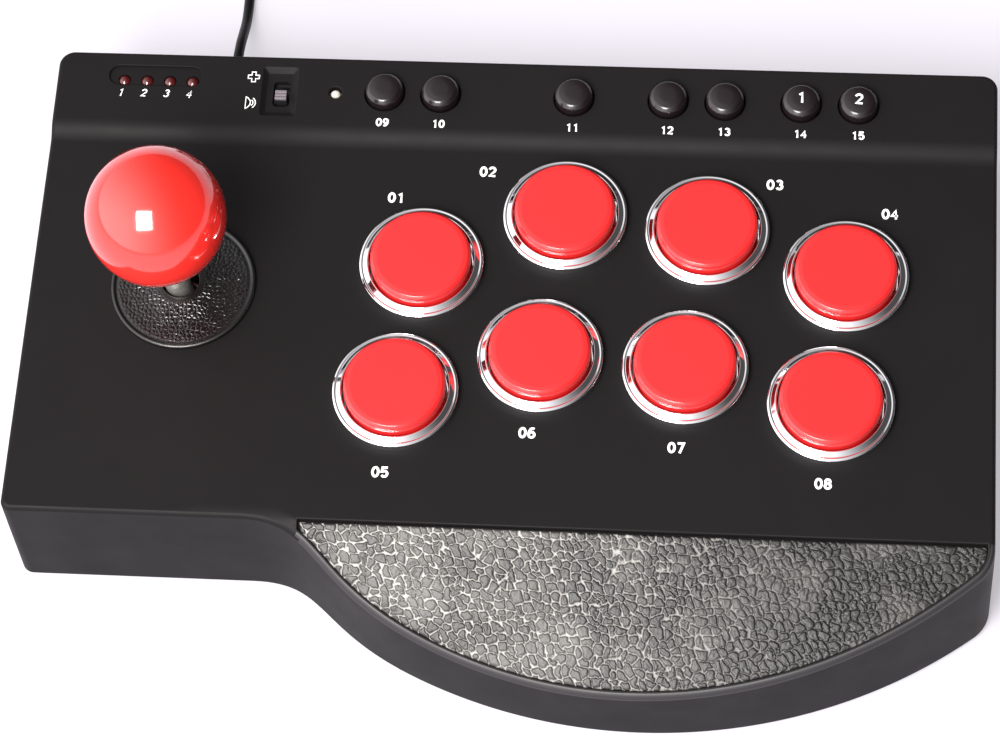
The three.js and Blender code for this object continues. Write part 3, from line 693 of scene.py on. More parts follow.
OUTLINE = housing_outline()
OUTLINE_NORMALS = normals_of(OUTLINE)


def bend(distance, half_width):
    """0 before a kink and the distance past it after, rounded over half_width each side."""
    if abs(distance) >= half_width:
        return max(0.0, distance)
    return (distance + half_width) ** 2 / (4 * half_width)


def surface_z(x, y):
    """Height of the housing's top face: the palm slope, the playing surface and the raised strip."""
    steep = STRIP_RISE / (STRIP_TOP_Y - STRIP_FOOT_Y)
    strip = steep * bend(y - STRIP_FOOT_Y, KINK)
    strip -= (steep - STRIP_SLOPE) * bend(y - STRIP_TOP_Y, KINK)
    left_of_pad = min(1.0, max(0.0, (PALM_LEFT_X - 0.5 * MM - x) / (6 * MM)))
    slope = PALM_SLOPE + PALM_TWIST * (x - BULGE[0])
    return PANEL_Z + strip - slope * bend(PALM_BACK_Y - y, 4 * MM * left_of_pad)


def ceiling_z(x, y):
    depth = 5 * MM if y < PALM_BACK_Y + 1 * MM else 3 * MM
    return min(surface_z(x, y) - depth, STRIP_CEILING_Z)


def lean(z):
    return DRAFT * (z - FOOT_Z) / (PANEL_Z - FOOT_Z)


def edge_radius(y):
    """Rounding of the top edge: full along the panel, less along the rim of the palm rest."""
    share = min(1.0, max(0.0, (PALM_BACK_Y - 1.5 * MM - y) / (6 * MM)))
    return EDGE_RADIUS + (RIM_RADIUS - EDGE_RADIUS) * share


def wall_loop(skin, inset_and_height):
    """A loop on the outline, with an inset and a height worked out for each point."""
    points = []
    for p, n in zip(OUTLINE, OUTLINE_NORMALS):
        inset, z = inset_and_height(p, n)
        points.append((*(p - n * inset), z))
    return skin.loop(points)


def top_edge(p, n):
    """Height of the top face just inside the wall, and the radius of the edge there."""
    radius = edge_radius(p.y)
    inside = p - n * (DRAFT + radius)
    return surface_z(*inside), radius


def outer_walls(skin):
    """From the inner foot of the wall, under it, up its outside and over the rounded top edge."""
    loops = [wall_loop(skin, lambda p, n: (WALL, FOOT_Z))]
    for k in range(4):
        a = math.pi / 2 * k / 3
        inset, rise = WALL_FOOT * (1 - math.sin(a)), WALL_FOOT * (1 - math.cos(a))
        loops.append(wall_loop(skin, lambda p, n: (inset, FOOT_Z + rise)))
    start = FOOT_Z + WALL_FOOT
    for share in (0.25, 0.5, 0.75):
        def part_way(p, n):
            top, radius = top_edge(p, n)
            z = start + share * (top - radius - start)
            return lean(z), z
        loops.append(wall_loop(skin, part_way))
    for k in range(FILLET_STEPS + 1):
        a = math.pi / 2 * k / FILLET_STEPS

        def over_edge(p, n):
            top, radius = top_edge(p, n)
            inset = lean(top) + radius * (1 - math.cos(a))
            return inset, surface_z(*(p - n * inset)) - radius * (1 - math.sin(a))
        loops.append(wall_loop(skin, over_edge))
    skin.strip(loops)
    return loops[0], loops[-1]


def mouth(skin, outline, radius, floor, steps=4):
    """The rounded mouth and the wall of a hole, down to floor(x, y). Returns its top and bottom loops."""
    loops = []
    for k in range(steps + 1):
        a = math.pi / 2 * k / steps
        ring = shifted(outline, radius * (1 - math.sin(a)))
        loops.append(skin.loop((p.x, p.y, surface_z(p.x, p.y) - radius * (1 - math.cos(a))) for p in ring))
    loops.append(skin.loop((p.x, p.y, floor(p.x, p.y)) for p in outline))
    skin.strip(loops)
    return loops[0], loops[-1]


def drop(skin, outline, top, floor):
    """The straight wall of a hole between two heights. Returns its top and bottom loops."""
    first = skin.loop((p.x, p.y, top) for p in outline)
    second = skin.loop((p.x, p.y, floor(p.x, p.y)) for p in outline)
    skin.bridge(first, second)
    return first, second


def inner_line(inset):
    """The outline at the height of the top face, moved inwards."""
    return [p - n * (lean(surface_z(*p)) + inset) for p, n in zip(OUTLINE, OUTLINE_NORMALS)]


def recess_outline(inset):
    """Plan of the palm rest's recess, counter-clockwise from its back left corner."""
    front = inner_line(inset)
    along = [p for p in front if p.x > PALM_LEFT_X and p.y < PALM_BACK_Y]
    before = front[front.index(along[0]) - 1]
    after = front[front.index(along[-1]) + 1]
    share = (PALM_LEFT_X - before.x) / (along[0].x - before.x)
    left = before.lerp(along[0], share)
    share = (PALM_BACK_Y - along[-1].y) / (after.y - along[-1].y)
    right = along[-1].lerp(after, share)
    back_left = Vector((PALM_LEFT_X, PALM_BACK_Y))
    side = [back_left.lerp(left, k / 6) for k in range(6)]
    back = [right.lerp(back_left, k / 40) for k in range(40)]
    return [*side, left, *along, *back]


KEY_NODES = [f"function_key_{i}" for i in range(1, 8)]
BUTTON_CENTRES = [centre_of(f"button_bezel_{i}") for i in range(1, 9)]
KEY_CENTRES = [centre_of(node) for node in KEY_NODES]
STICK = centre_of("stick_housing")
WASHER = centre_of("dust_washer")
INDICATOR = centre_of("indicator_light")
SLOT = centre_of("slide_switch")
SLOT_SIZE = (5.6 * MM, 9.6 * MM)
WELL = (-81.4 * MM, 94.0 * MM)
WELL_SIZE = (11.6 * MM, 18 * MM)
WELL_TAPER = 1.5 * MM
WELL_FLOOR_Z = 53.6 * MM
LIGHT_Y = 97.1 * MM
light_low, light_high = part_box("player_light_bar")
LIGHT_XS = [light_low.x + 4 * MM + k * (light_high.x - light_low.x - 8 * MM) / 3 for k in range(4)]
LIGHT_RADIUS = 1.9 * MM
LIGHT_FLOOR_Z = 54.2 * MM
LIGHT_RECESS = (-139.3 * MM, -107.8 * MM, 98.7 * MM, 3.75 * MM)     # left, right, y, half width
BUTTON_HOLE = 18.35 * MM
KEY_HOLE = 6.8 * MM
INDICATOR_HOLE = 2.2 * MM
STICK_HOLE = 12 * MM


def pill():
    left, right, y, half = LIGHT_RECESS
    quarter = math.pi / 2
    left_end = arc(left + half, y, half, quarter, 3 * quarter, 16)
    return [*left_end, *arc(right - half, y, half, -quarter, quarter, 16)]


def rectangle(centre, size, radius=0.6 * MM):
    return [Vector(centre) + p for p in rounded_rectangle(*size, radius)]


def well_walls(skin):
    """The slide switch's well: a rounded mouth and sides that slope in to the floor."""
    outline = rectangle(WELL, WELL_SIZE, 0.9 * MM)
    floor = rectangle(WELL, [side - 2 * WELL_TAPER for side in WELL_SIZE], 0.5 * MM)
    loops = []
    for outwards, down in ((0.45, 0), (0.12, 0.12), (-0.1, 0.35)):
        ring = shifted(outline, outwards * MM)
        loops.append(skin.loop((*p, surface_z(*p) - down * MM) for p in ring))
    for outwards, up in ((0.12, 0.15), (-0.1, 0)):
        ring = shifted(floor, outwards * MM)
        loops.append(skin.loop((*p, WELL_FLOOR_Z + up * MM) for p in ring))
    skin.strip(loops)
    return loops[0], loops[-1]


SOFT_CORNER_X = (-92, -62.2, 1.3)     # start, end and step of extra points, in millimetres
SOFT_CORNER_Y = (-67, -55.5, 0.8)
SOFT_CORNER_GAP = 0.45


def soft_corner_points(skin, top_loop, recess_top):
    """Extra points for the rounded fall of the top face, left of the palm rest."""
    loops = [[Vector(skin.points[i][:2]) / MM for i in loop] for loop in (top_loop, recess_top)]
    grid = [(x * MM, y * MM) for x in np.arange(*SOFT_CORNER_X) for y in np.arange(*SOFT_CORNER_Y)]
    inside = within(np.array(grid) / MM, loops)
    edges = np.array([p for loop in loops for p in loop])
    kept = []
    for place, keep in zip(grid, inside):
        gap = np.linalg.norm(edges - np.array(place) / MM, axis=1).min()
        if keep and gap > SOFT_CORNER_GAP:
            kept.append(place)
    return kept


def make_top_shell():
    skin = Skin()
    wall_foot, top_loop = outer_walls(skin)
    holes, lower = [], []
    round_holes = [(centre, BUTTON_HOLE, 48) for centre in BUTTON_CENTRES]
    round_holes += [(centre, KEY_HOLE, 48) for centre in KEY_CENTRES]
    round_holes += [(STICK, STICK_HOLE, 48), (INDICATOR, INDICATOR_HOLE, 24)]
    for (x, y), radius, count in round_holes:
        top, bottom = mouth(skin, circle(x, y, radius, count), 0.3 * MM, ceiling_z)
        holes.append(top)
        lower.append(bottom)

    def recess_z(x, y):
        return surface_z(x, y) - RECESS_DEPTH
    recess_top, recess_floor = mouth(skin, recess_outline(PALM_RIM), 0.45 * MM, recess_z)
    skin.fill(recess_floor, height=recess_z)
    holes.append(recess_top)

    pill_top, pill_floor = mouth(skin, pill(), 0.25 * MM, lambda x, y: LIGHT_FLOOR_Z)
    holes.append(pill_top)
    light_tops = []
    for x in LIGHT_XS:
        hole = circle(x, LIGHT_Y, LIGHT_RADIUS + 0.25 * MM, 24)
        top, bottom = drop(skin, hole, LIGHT_FLOOR_Z, ceiling_z)
        light_tops.append(top)
        lower.append(bottom)
    skin.fill(pill_floor, light_tops, lambda x, y: LIGHT_FLOOR_Z)

    well_top, well_floor = well_walls(skin)
    holes.append(well_top)
    slot_top, slot_bottom = drop(skin, rectangle(SLOT, SLOT_SIZE, 1.3 * MM), WELL_FLOOR_Z, ceiling_z)
    skin.fill(well_floor, [slot_top], lambda x, y: WELL_FLOOR_Z)
    lower.append(slot_bottom)

    creases = []
    for y in STRIP_KINKS:
        creases.append([top_loop[i] for i, p in enumerate(OUTLINE) if abs(p.y - y) < 1e-6])
    extra = soft_corner_points(skin, top_loop, recess_top)
    skin.fill(top_loop, holes, surface_z, creases, extra)

    def under_top(p, n):
        return WALL + lean(ceiling_z(*p)), ceiling_z(*(p - n * (WALL + DRAFT)))
    ceiling = wall_loop(skin, under_top)
    skin.bridge(wall_foot, ceiling)
    skin.fill(ceiling, lower, ceiling_z)
    shell = from_skin("housing_top", skin)
    finished(shell, SHELL, "root", "shell", ("top_shell",), crisp=50)
    # The rounded rim along the palm rest gets the rim material, with its painted highlight.
    shell.data.materials.append(RIM_PAINTED_HIGHLIGHT)
    fillet_start = WALL_STRIPS * len(OUTLINE)
    fillet_end = fillet_start + FILLET_STEPS * len(OUTLINE)
    for face in shell.data.polygons[fillet_start:fillet_end]:
        if face.center.x > PALM_LEFT_X and face.center.y < PALM_BACK_Y:
            face.material_index = 1


# ---------------------------------------------------------------- palm pad

def lattice(x, y, size, seed):
    """Random numbers on a square lattice, blended smoothly in between."""
    u, v = x / size + 500, y / size + 500
    i, j = np.floor(u).astype(int), np.floor(v).astype(int)
    table = np.random.default_rng(seed).random((256, 256))
    s, t = u - i, v - j
    s, t = s * s * (3 - 2 * s), t * t * (3 - 2 * t)

    def value(a, b):
        return table[a % 256, b % 256]
    near = value(i, j) * (1 - s) + value(i + 1, j) * s
    far = value(i, j + 1) * (1 - s) + value(i + 1, j + 1) * s
    return near * (1 - t) + far * t


def cells(x, y, size, seed):
    """Distances to the nearest and second nearest of scattered points, one in each square."""
    u, v = x / size + 500, y / size + 500
    i, j = np.floor(u).astype(int), np.floor(v).astype(int)
    table = 0.14 + 0.72 * np.random.default_rng(seed).random((128, 128, 2))
    near = np.full(u.shape, 9.0)
    next_near = np.full(u.shape, 9.0)
    for a in (-1, 0, 1):
        for b in (-1, 0, 1):
            jitter = table[(i + a) % 128, (j + b) % 128]
            away = np.hypot(i + a + jitter[..., 0] - u, j + b + jitter[..., 1] - v)
            next_near = np.minimum(next_near, np.maximum(near, away))
            near = np.minimum(near, away)
    return near, next_near


VALLEY = 0.26 * MM
PAD_FRONT_GAP = 0.1 * MM
PAD_CELL = 0.26 * MM
PAINTED_SHEEN_FULL_X = -5 * MM          # the valleys' painted sheen is full left of here, and fades to painted shade on the right
PAINTED_SHEEN_GONE_X = 120 * MM
PAINTED_HIGHLIGHT_X = -8 * MM             # middle of the painted highlight patch that lightens the pad all over
PAINTED_HIGHLIGHT_HALF = 42 * MM
PAINTED_HIGHLIGHT_LEVEL = 0.11
GRAIN_HEIGHT = 0.42 * MM
PAD_EDGE = 0.6 * MM
PAD_FRONT_ROLL = 0.25 * MM


def wandering(x, y, seed):
    """A smooth random shift, broad and fine together."""
    broad = 1.5 * MM * (lattice(x, y, 2.6 * MM, seed) - 0.5)
    return broad + 0.7 * MM * (lattice(x, y, 0.9 * MM, seed + 1) - 0.5)


def pad_grain(x, y):
    """The embossed grain: height of the flat-topped pebbles in 0..1, and the share of valley floor."""
    u = x + wandering(x, y, 11)
    v = y + wandering(x, y, 13)
    near, next_near = cells(u + 0.35 * v, v, 3.0 * MM, 15)
    main = (next_near - near) * 3.0 * MM
    near, next_near = cells(u, v - 0.25 * u, 2.4 * MM, 16)
    minor = (next_near - near) * 2.4 * MM + 1.2 * MM * lattice(x, y, 5 * MM, 17)
    away = np.minimum(main, minor)
    width = VALLEY * (0.5 + lattice(x, y, 2.2 * MM, 18))
    height = np.clip((away - width) / (1.1 * VALLEY), 0, 1)
    height = height * height * (3 - 2 * height)
    swell = np.clip(away / (1.6 * MM), 0, 1)
    pores = lattice(x, y, 0.5 * MM, 19) - 0.5
    floor = np.exp(-(away / (1.25 * width)) ** 4)
    return 0.75 * height + 0.25 * swell + 0.16 * pores * height, floor


def pad_front(low, high):
    """Plan of the pad's curved front edge, as rising x and their y."""
    line = []
    for p in inner_line(PALM_RIM + PAD_FRONT_GAP):
        if low.x - 4 * MM < p.x < high.x + MM and p.y < PALM_BACK_Y + 3 * MM:
            line.append(p)
    front_x, front_y = np.array([p.x for p in line]), np.array([p.y for p in line])
    rising = np.concatenate([[True], np.diff(front_x) > 1e-6])
    return front_x[rising], front_y[rising]


def make_palm_pad():
    """The grained pad, as a fine grid that follows the slope and the round rim."""
    low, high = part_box("palm_pad")
    back_y = high.y
    columns = np.arange(low.x, high.x, PAD_CELL)
    edge_y = np.interp(columns, *pad_front(low, high))
    wide = edge_y < back_y - 0.4 * MM
    columns, edge_y = columns[wide], edge_y[wide]
    rows = int((back_y - edge_y.min()) / PAD_CELL)
    share = np.linspace(0, 1, rows + 1)
    x = np.repeat(columns[:, None], rows + 1, axis=1)
    y = back_y + share[None, :] * (edge_y[:, None] - back_y)
    slope = np.gradient(edge_y, columns)
    to_front = (y - edge_y[:, None]) / np.sqrt(1 + slope[:, None] ** 2)
    to_side = np.minimum(x - low.x, columns[-1] - x + 0.2 * MM)
    away = np.minimum(np.minimum(back_y - y, to_front), to_side)
    roll = np.where(to_front <= away, PAD_FRONT_ROLL, PAD_EDGE)
    edge = np.clip(1 - away / roll, 0, 1)
    grain, valley = pad_grain(x, y)
    drop_by = roll * 0.8 * (1 - np.sqrt(1 - edge ** 2))
    crown = 0.35 * MM * np.clip(away / (9 * MM), 0, 1) ** 0.6
    level = np.vectorize(surface_z)(x, y) - PAD_DEPTH
    z = level + crown - drop_by + GRAIN_HEIGHT * (grain - 0.5) * np.clip(away / (0.8 * MM), 0.25, 1)

    skin = Skin()
    loops = [skin.loop(zip(x[i], y[i], z[i])) for i in range(len(columns))]
    skin.strip(loops, closed=False)
    rim = [*loops[0], *[loop[-1] for loop in loops[1:]], *reversed(loops[-1][:-1]),
           *[loop[0] for loop in reversed(loops[1:-1])]]
    plan = [skin.points[i][:2] for i in rim]
    foot = skin.loop((*p, surface_z(*p) - PAD_DEPTH - 1.2 * MM) for p in plan)
    skin.bridge(rim, foot)
    skin.fill(foot)
    pad = from_skin("palm_pad_grained", skin)
    # Painted light in the colour: a painted sheen on the valley floors that fades to painted shade towards
    # the right, and a painted highlight patch.
    painted_sheen_share = np.clip((PAINTED_SHEEN_GONE_X - x) / (PAINTED_SHEEN_GONE_X - PAINTED_SHEEN_FULL_X), 0, 1)
    painted_highlight = PAINTED_HIGHLIGHT_LEVEL * np.exp(-((x - PAINTED_HIGHLIGHT_X) / PAINTED_HIGHLIGHT_HALF) ** 2)
    give_sheen(pad, (valley * (0.12 + 0.88 * painted_sheen_share * painted_sheen_share * (3 - 2 * painted_sheen_share)) + painted_highlight).ravel())
    finished(pad, PALM, "root", "palm_vinyl", ("palm_pad",), crisp=70, weighted=False)


# ---------------------------------------------------------------- base, feet and screws

SCREWS = [(-146, 96), (-60, 72), (40, 76), (146, 96), (-146, -49), (-70, -46), (138, -56), (30, -92),
          (84, -84)]           # in millimetres
FEET = ["foot_rear_left", "foot_rear_right", "foot_front_left", "foot_front_right"]
BASE_TOP_Z = 5.5 * MM
BASE_GAP = 0.4 * MM            # between the base and the walls


def make_base():
    """The base plate, with a well for each foot and a counterbore for each screw."""
    skin = Skin()
    inset = WALL + BASE_GAP
    loops = []
    for inwards, z in ((0.3, FOOT_Z), (0.09, FOOT_Z + 0.09 * MM), (0, FOOT_Z + 0.3 * MM), (0, BASE_TOP_Z)):
        loops.append(wall_loop(skin, lambda p, n: (inset + inwards * MM, z)))
    skin.strip(loops)
    skin.fill(loops[-1])
    wells = [(centre_of(foot), 9.3 * MM, FOOT_Z + 1.0 * MM) for foot in FEET]
    wells += [((x * MM, y * MM), 3.4 * MM, FOOT_Z + 1.2 * MM) for x, y in SCREWS]
    holes = []
    for (x, y), radius, floor in wells:
        rings = []
        for grow, z in ((0.3, FOOT_Z), (0.08, FOOT_Z + 0.08 * MM), (0, FOOT_Z + 0.3 * MM), (0, floor)):
            rings.append(skin.loop((*p, z) for p in circle(x, y, radius + grow * MM)))
        skin.strip(rings)
        skin.fill(rings[-1])
        holes.append(rings[0])
    skin.fill(loops[0], holes)
    finished(from_skin("housing_base", skin), BASE, "root", "shell", ("base_cover",), crisp=50)


def make_feet():
    for node in FEET:
        low, high = box_in_mm(node)
        r = (high.x - low.x) / 2
        top = high.z - low.z
        path = [(0, 0.5, 0), (3, 0.5, 0.2), (3.4, 0, 0.2), (5.0, 0, 0.2), (5.2, 0.4, 0.1), (5.8, 0.4, 0.1),
                (6.0, 0, 0.2), (r - 1, 0, 0.4), (r, 1, 0.5), (r, top, 0.2), (0, top, 0)]
        foot = turned(f"rubber_{node}", profile(path), (*centre_of(node), low.z * MM), 64)
        finished(foot, RUBBER, "root", "rubber", (node,))


def make_screws():
    """Cross-head case screws, heads down in their counterbores."""
    skin = Skin()
    head = [(0, 2.9, 0), (0.5, 2.9, 0), (0.9, 2.6, 0.1), (2.3, 2.72, 0.35), (2.8, 3.3, 0.15),
            (2.8, 3.68, 0), (1.4, 3.68, 0), (1.4, 11.5, 0.3), (0, 11.5, 0)]
    for x, y in SCREWS:
        turned_into(skin, profile(head), (x * MM, y * MM, 0), 32)
        for long, wide in ((1.5, 0.3), (0.3, 1.5)):
            block_into(skin, (x - long, y - wide, 2.56), (x + long, y + wide, 2.75), 0.03, 1)
    finished(from_skin("case_screws", skin), ZINC, "root", "steel")


# ---------------------------------------------------------------- push buttons

BEZEL_BORE = 17.1              # radii in millimetres
BEZEL_BARREL = 18
BEZEL_REACH = 0.35             # flange beyond the CAD's


def make_buttons():
    for i, (x, y) in enumerate(BUTTON_CENTRES, 1):
        node = f"button_bezel_{i}"
        low, high = box_in_mm(node)
        bore, outer = BEZEL_BORE, (high.x - low.x) / 2 + BEZEL_REACH
        foot, deck = low.z - high.z, PANEL_Z / MM + 0.08 - high.z
        path = [(bore, -2.2, 0), (bore + 0.05, -0.2, 0.15), (bore + 0.5, 0, 0.3),
                (outer - 1.3, -1.15, 0.25), (outer - 0.75, -1.0, 0.35), (outer - 0.05, -1.45, 0.5),
                (outer, deck, 0.05), (BEZEL_BARREL, deck, 0), (BEZEL_BARREL, foot, 0.4), (5, foot, 0.3),
                (5, foot + 2, 0.3), (bore, foot + 2, 0.3), (bore, -2.2, 0)]
        bezel = turned(f"chrome_bezel_{i}", profile(path, 7), (x, y, high.z * MM), 96)
        finished(bezel, CHROME, "root", "chrome", (node,))

        node = f"button_plunger_{i}"
        low, high = box_in_mm(node)
        r = (high.x - low.x) / 2
        foot, skirt = low.z - high.z, 44 - high.z
        path = [(0, 0, 0), (r - 2.4, 0, 4), (r - 1.05, -0.22, 0.6), (r - 0.25, -0.95, 0.5), (r, -2.6, 1),
                (r, skirt, 0.3), (r - 1.7, skirt, 0), (r - 1.7, -2.6, 0.5), (4, -2.6, 0.3),
                (4, foot, 0.3), (0, foot, 0)]
        plunger = turned(f"red_plunger_{i}", profile(path, 7), (x, y, high.z * MM), 96)
        finished(plunger, RED, f"plunger_{i}", "red_plastic", (node,))


# ---------------------------------------------------------------- function keys, lights and switch

def make_keys():
    r = KEY_HOLE / MM - 0.4
    for i, (node, (x, y)) in enumerate(zip(KEY_NODES, KEY_CENTRES), 1):
        low, high = box_in_mm(node)
        flange = (high.x - low.x) / 2
        foot = low.z - high.z
        path = [(0, 0, 0), (3.0, -0.1, 8), (5.0, -0.55, 1.6), (r - 0.2, -1.75, 1.1), (r, -3.6, 1.2),
                (r, foot + 1, 0.1), (flange, foot + 1, 0.2), (flange, foot, 0.2), (0, foot, 0)]
        key = turned(f"key_cap_{i}", profile(path, 6), (x, y, high.z * MM), 72)
        finished(key, KEY, f"key_{i}", "key_plastic", (node,))


def make_lights():
    """Four red domes on one bar under the panel."""
    skin = Skin()
    low, high = box_in_mm("player_light_bar")
    block_into(skin, low, (high.x, high.y, STRIP_CEILING_Z / MM - 0.3), 0.3)
    r, foot = LIGHT_RADIUS / MM, 50.8 - high.z
    path = [(0, 0, 0), (0.9, -0.12, 1.6), (r, -0.95, 0.7), (r, foot, 0), (0, foot, 0)]
    for x in LIGHT_XS:
        turned_into(skin, profile(path, 6), (x, LIGHT_Y, high.z * MM), 32)
    finished(from_skin("player_lights", skin), RED_LENS, "root", "red_lens", ("player_light_bar",))


def make_indicator():
    low, high = box_in_mm("indicator_light")
    foot = low.z - high.z
    path = [(0, 0, 0), (0.9, -0.15, 1.2), (1.6, -0.9, 0.7), (1.6, foot + 1.5, 0), (2.6, foot + 1.5, 0.2),
            (2.6, foot, 0), (0, foot, 0)]
    lens = turned("indicator_lens", profile(path, 6), (*INDICATOR, high.z * MM), 32)
    finished(lens, CLEAR_LENS, "root", "clear_lens", ("indicator_light",))


def make_slide_knob():
    """A dark body with three lighter ridges across its top."""
    low, high = box_in_mm("slide_knob")
    body = Skin()
    block_into(body, low, (high.x, high.y, high.z - 0.5), 0.25)
    finished(from_skin("slide_knob_body", body), SWITCH, "slide", "knob_plastic", ("slide_knob",))
    cap = Skin()
    ridges = 3
    pitch = (high.y - low.y - 0.3) / ridges
    for k in range(ridges):
        y = low.y + 0.15 + k * pitch
        near = (low.x + 0.1, y + 0.06 * pitch, high.z - 0.9)
        block_into(cap, near, (high.x - 0.1, y + 0.94 * pitch, high.z), 0.2)
    finished(from_skin("slide_knob_ridges", cap), KNOB, "slide", "knob_plastic")


# ---------------------------------------------------------------- joystick

STICK_LEAN = math.radians(1.1)        # the centred stick rests a little to the left
PIVOT = Vector((*STICK, 30 * MM))
LEANING = Matrix.Translation(PIVOT) @ Matrix.Rotation(-STICK_LEAN, 4, "Y") @ Matrix.Translation(-PIVOT)


BALL_HOLE = 3.3 * MM
BALL_FOOT = -5.4 * MM         # bottom of the hole, from the ball's centre


def leaning(obj, material, slot, stands_for=(), **settings):
    """Leans a piece of the stick at rest and finishes it."""
    obj.data.transform(LEANING)
    finished(obj, material, "stick", slot, stands_for, **settings)


def make_ball():
    low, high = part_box("ball_top")
    r = (high.z - low.z) / 2
    start = math.asin(BALL_HOLE / r) - math.pi / 2
    dome = [(r * math.cos(a), r * math.sin(a)) for a in np.linspace(start, math.pi / 2, 72)]
    dome[-1] = (0, r)
    bore = BALL_HOLE - 0.2 * MM
    path = [(0, BALL_FOOT), (bore, BALL_FOOT), (bore, dome[0][1] + 0.3 * MM), *dome]
    ball = turned("ball_grip", path, (*centre_of("ball_top"), (high.z + low.z) / 2), 128)
    leaning(ball, BALL_RED, "red_plastic", ("ball_top",), weighted=False)


def make_shaft():
    """The steel shaft with its turned-down ends, circlip groove and cross pin."""
    x, y = centre_of("stick_shaft")
    path = [(0, 8.5, 0), (3, 8.5, 0.5), (3, 11, 0), (2.5, 11.1, 0), (2.5, 11.7, 0), (3, 11.8, 0),
            (3, 26, 0), (4.25, 26, 0.3), (4.25, 74.5, 0.3), (3, 74.5, 0), (3, 91, 0.4), (0, 91, 0)]
    skin = Skin()
    turned_into(skin, profile(path), (x, y, 0), 64)
    pin = [(0, -16.8, 0), (1.5, -16.8, 0.3), (1.5, 16.8, 0.3), (0, 16.8, 0)]
    turned_into(skin, profile(pin), (x, y, PIVOT.z), 32, "y")
    leaning(from_skin("lever_shaft", skin), STEEL, "steel", ("stick_shaft",))


def make_spring():
    """The centring spring, a helix of round wire."""
    x, y = centre_of("stick_shaft")
    spring = Skin()
    low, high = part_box("centring_spring")
    wire, coil_radius, turns, steps, sides = 0.7 * MM, 6.6 * MM, 4, 160, 10
    start, end = low.z + wire, high.z - wire
    loops = []
    for i in range(steps + 1):
        t = 2 * math.pi * turns * i / steps
        z = start + (end - start) * i / steps
        ring = []
        for k in range(sides):
            a = 2 * math.pi * k / sides
            r = coil_radius + wire * math.cos(a)
            ring.append((x + r * math.cos(t), y + r * math.sin(t), z + wire * math.sin(a)))
        loops.append(spring.loop(ring))
    spring.strip(loops)
    spring.faces += [tuple(loops[0]), tuple(loops[-1])]
    finished(from_skin("spring_wire", spring), STEEL, "stick", "steel", ("centring_spring",))


def make_clip():
    clip = [(2.6, 11.15, 0), (5.2, 11.15, 0), (5.2, 11.65, 0), (2.6, 11.65, 0), (2.6, 11.15, 0)]
    retaining = turned("retaining_clip", profile(clip), (*centre_of("stick_shaft"), 0), 48)
    leaning(retaining, STEEL, "steel")


def make_actuator():
    path = [(3.4, 10, 0), (6.4, 10, 0.2), (7, 10.6, 0.3), (7, 21.4, 0.3), (6.4, 22, 0.2), (3.4, 22, 0),
            (3.4, 10, 0)]
    sleeve = turned("actuator_sleeve", profile(path), (*centre_of("stick_shaft"), 0), 64)
    leaning(sleeve, MECHANISM, "mechanism", ("actuator",))


WASHER_BUMP = 0.30 * MM
WASHER_STEP = 0.22 * MM
WASHER_POINTS = 480            # on each ring
WASHER_HOLE = 6.1              # radii in millimetres
WASHER_HUB = 7.6
HUB_SHIFT = 0.7 * MM


def make_dust_washer():
    """A grained disc that rises to a hub round the shaft, with a smooth rolled rim."""
    x0, y0 = WASHER
    low, high = box_in_mm("dust_washer")
    outer, base = (high.x - low.x) / 2, low.z
    hub = profile([(WASHER_HOLE, base, 0), (WASHER_HOLE, base + 2.8, 0.35),
                   (WASHER_HUB, base + 2.55, 0.5), (WASHER_HUB + 0.2, base + 2.5, 0)], 5)
    rim = profile([(outer - 2.2, base + 1.0, 0), (outer - 1.7, base + 0.95, 0.5),
                   (outer - 1.05, base + 1.62, 0.6), (outer - 0.1, base + 1.3, 0.6),
                   (outer, base, 0.2), (WASHER_HOLE, base, 0)], 7)
    hole, grain_in, grain_out = WASHER_HOLE * MM, WASHER_HUB * MM, (outer - 2.2) * MM
    radii = np.arange(grain_in + 0.2 * MM, grain_out, WASHER_STEP)
    turns = np.arange(WASHER_POINTS) * 2 * math.pi / WASHER_POINTS
    r, t = np.meshgrid(radii, turns, indexing="ij")
    x, y = r * np.cos(t), r * np.sin(t)
    share = (r - grain_in) / (grain_out - grain_in)
    level = (base + 1.0) * MM + 1.5 * MM * (1 - share) ** 2.3
    u = x + 0.5 * MM * (lattice(x, y, 1.3 * MM, 31) - 0.5)
    v = y + 0.5 * MM * (lattice(x, y, 1.3 * MM, 32) - 0.5)
    near, next_near = cells(u, v, 1.45 * MM, 33)
    dome = np.clip((next_near - near) / 0.45, 0, 1) ** 0.7 * (0.55 + 0.45 * lattice(x, y, 2.1 * MM, 34))
    fade = np.clip(np.minimum(share, 1 - share) / 0.05, 0, 1)
    z = level + WASHER_BUMP * dome * fade

    skin = Skin()
    values = []
    loops = []

    def centre_x(radius):
        """The hub sits round the leaning shaft, the rim on the washer's own centre."""
        return x0 - HUB_SHIFT * min(1.0, max(0.0, (grain_out - radius) / (grain_out - hole)))

    def smooth_ring(radius, height):
        middle = centre_x(radius)
        ring = [(middle + radius * math.cos(a), y0 + radius * math.sin(a), height) for a in turns]
        loops.append(skin.loop(ring))
        values.extend([0.0] * WASHER_POINTS)

    for radius, height in hub[:-1]:
        smooth_ring(radius, height)
    for k in range(len(radii)):
        loops.append(skin.loop(zip(centre_x(radii[k]) + x[k], y0 + y[k], z[k])))
        values.extend(dome[k])
    for radius, height in rim[:-1]:
        smooth_ring(radius, height)
    skin.strip([*loops, loops[0]])
    washer = from_skin("dust_washer_grained", skin)
    give_sheen(washer, values)
    finished(washer, WASHER_SKIN, "washer", "washer_plastic", ("dust_washer",), crisp=70, weighted=False)


def make_under_washer():
    path = [(10.6, 47.7, 0), (21, 47.7, 0.3), (21, 48.7, 0.3), (10.6, 48.7, 0), (10.6, 47.7, 0)]
    under = turned("under_washer_ring", profile(path, 3), (*STICK, 0), 64)
    finished(under, MECHANISM, "washer_carrier", "mechanism", ("under_washer",))


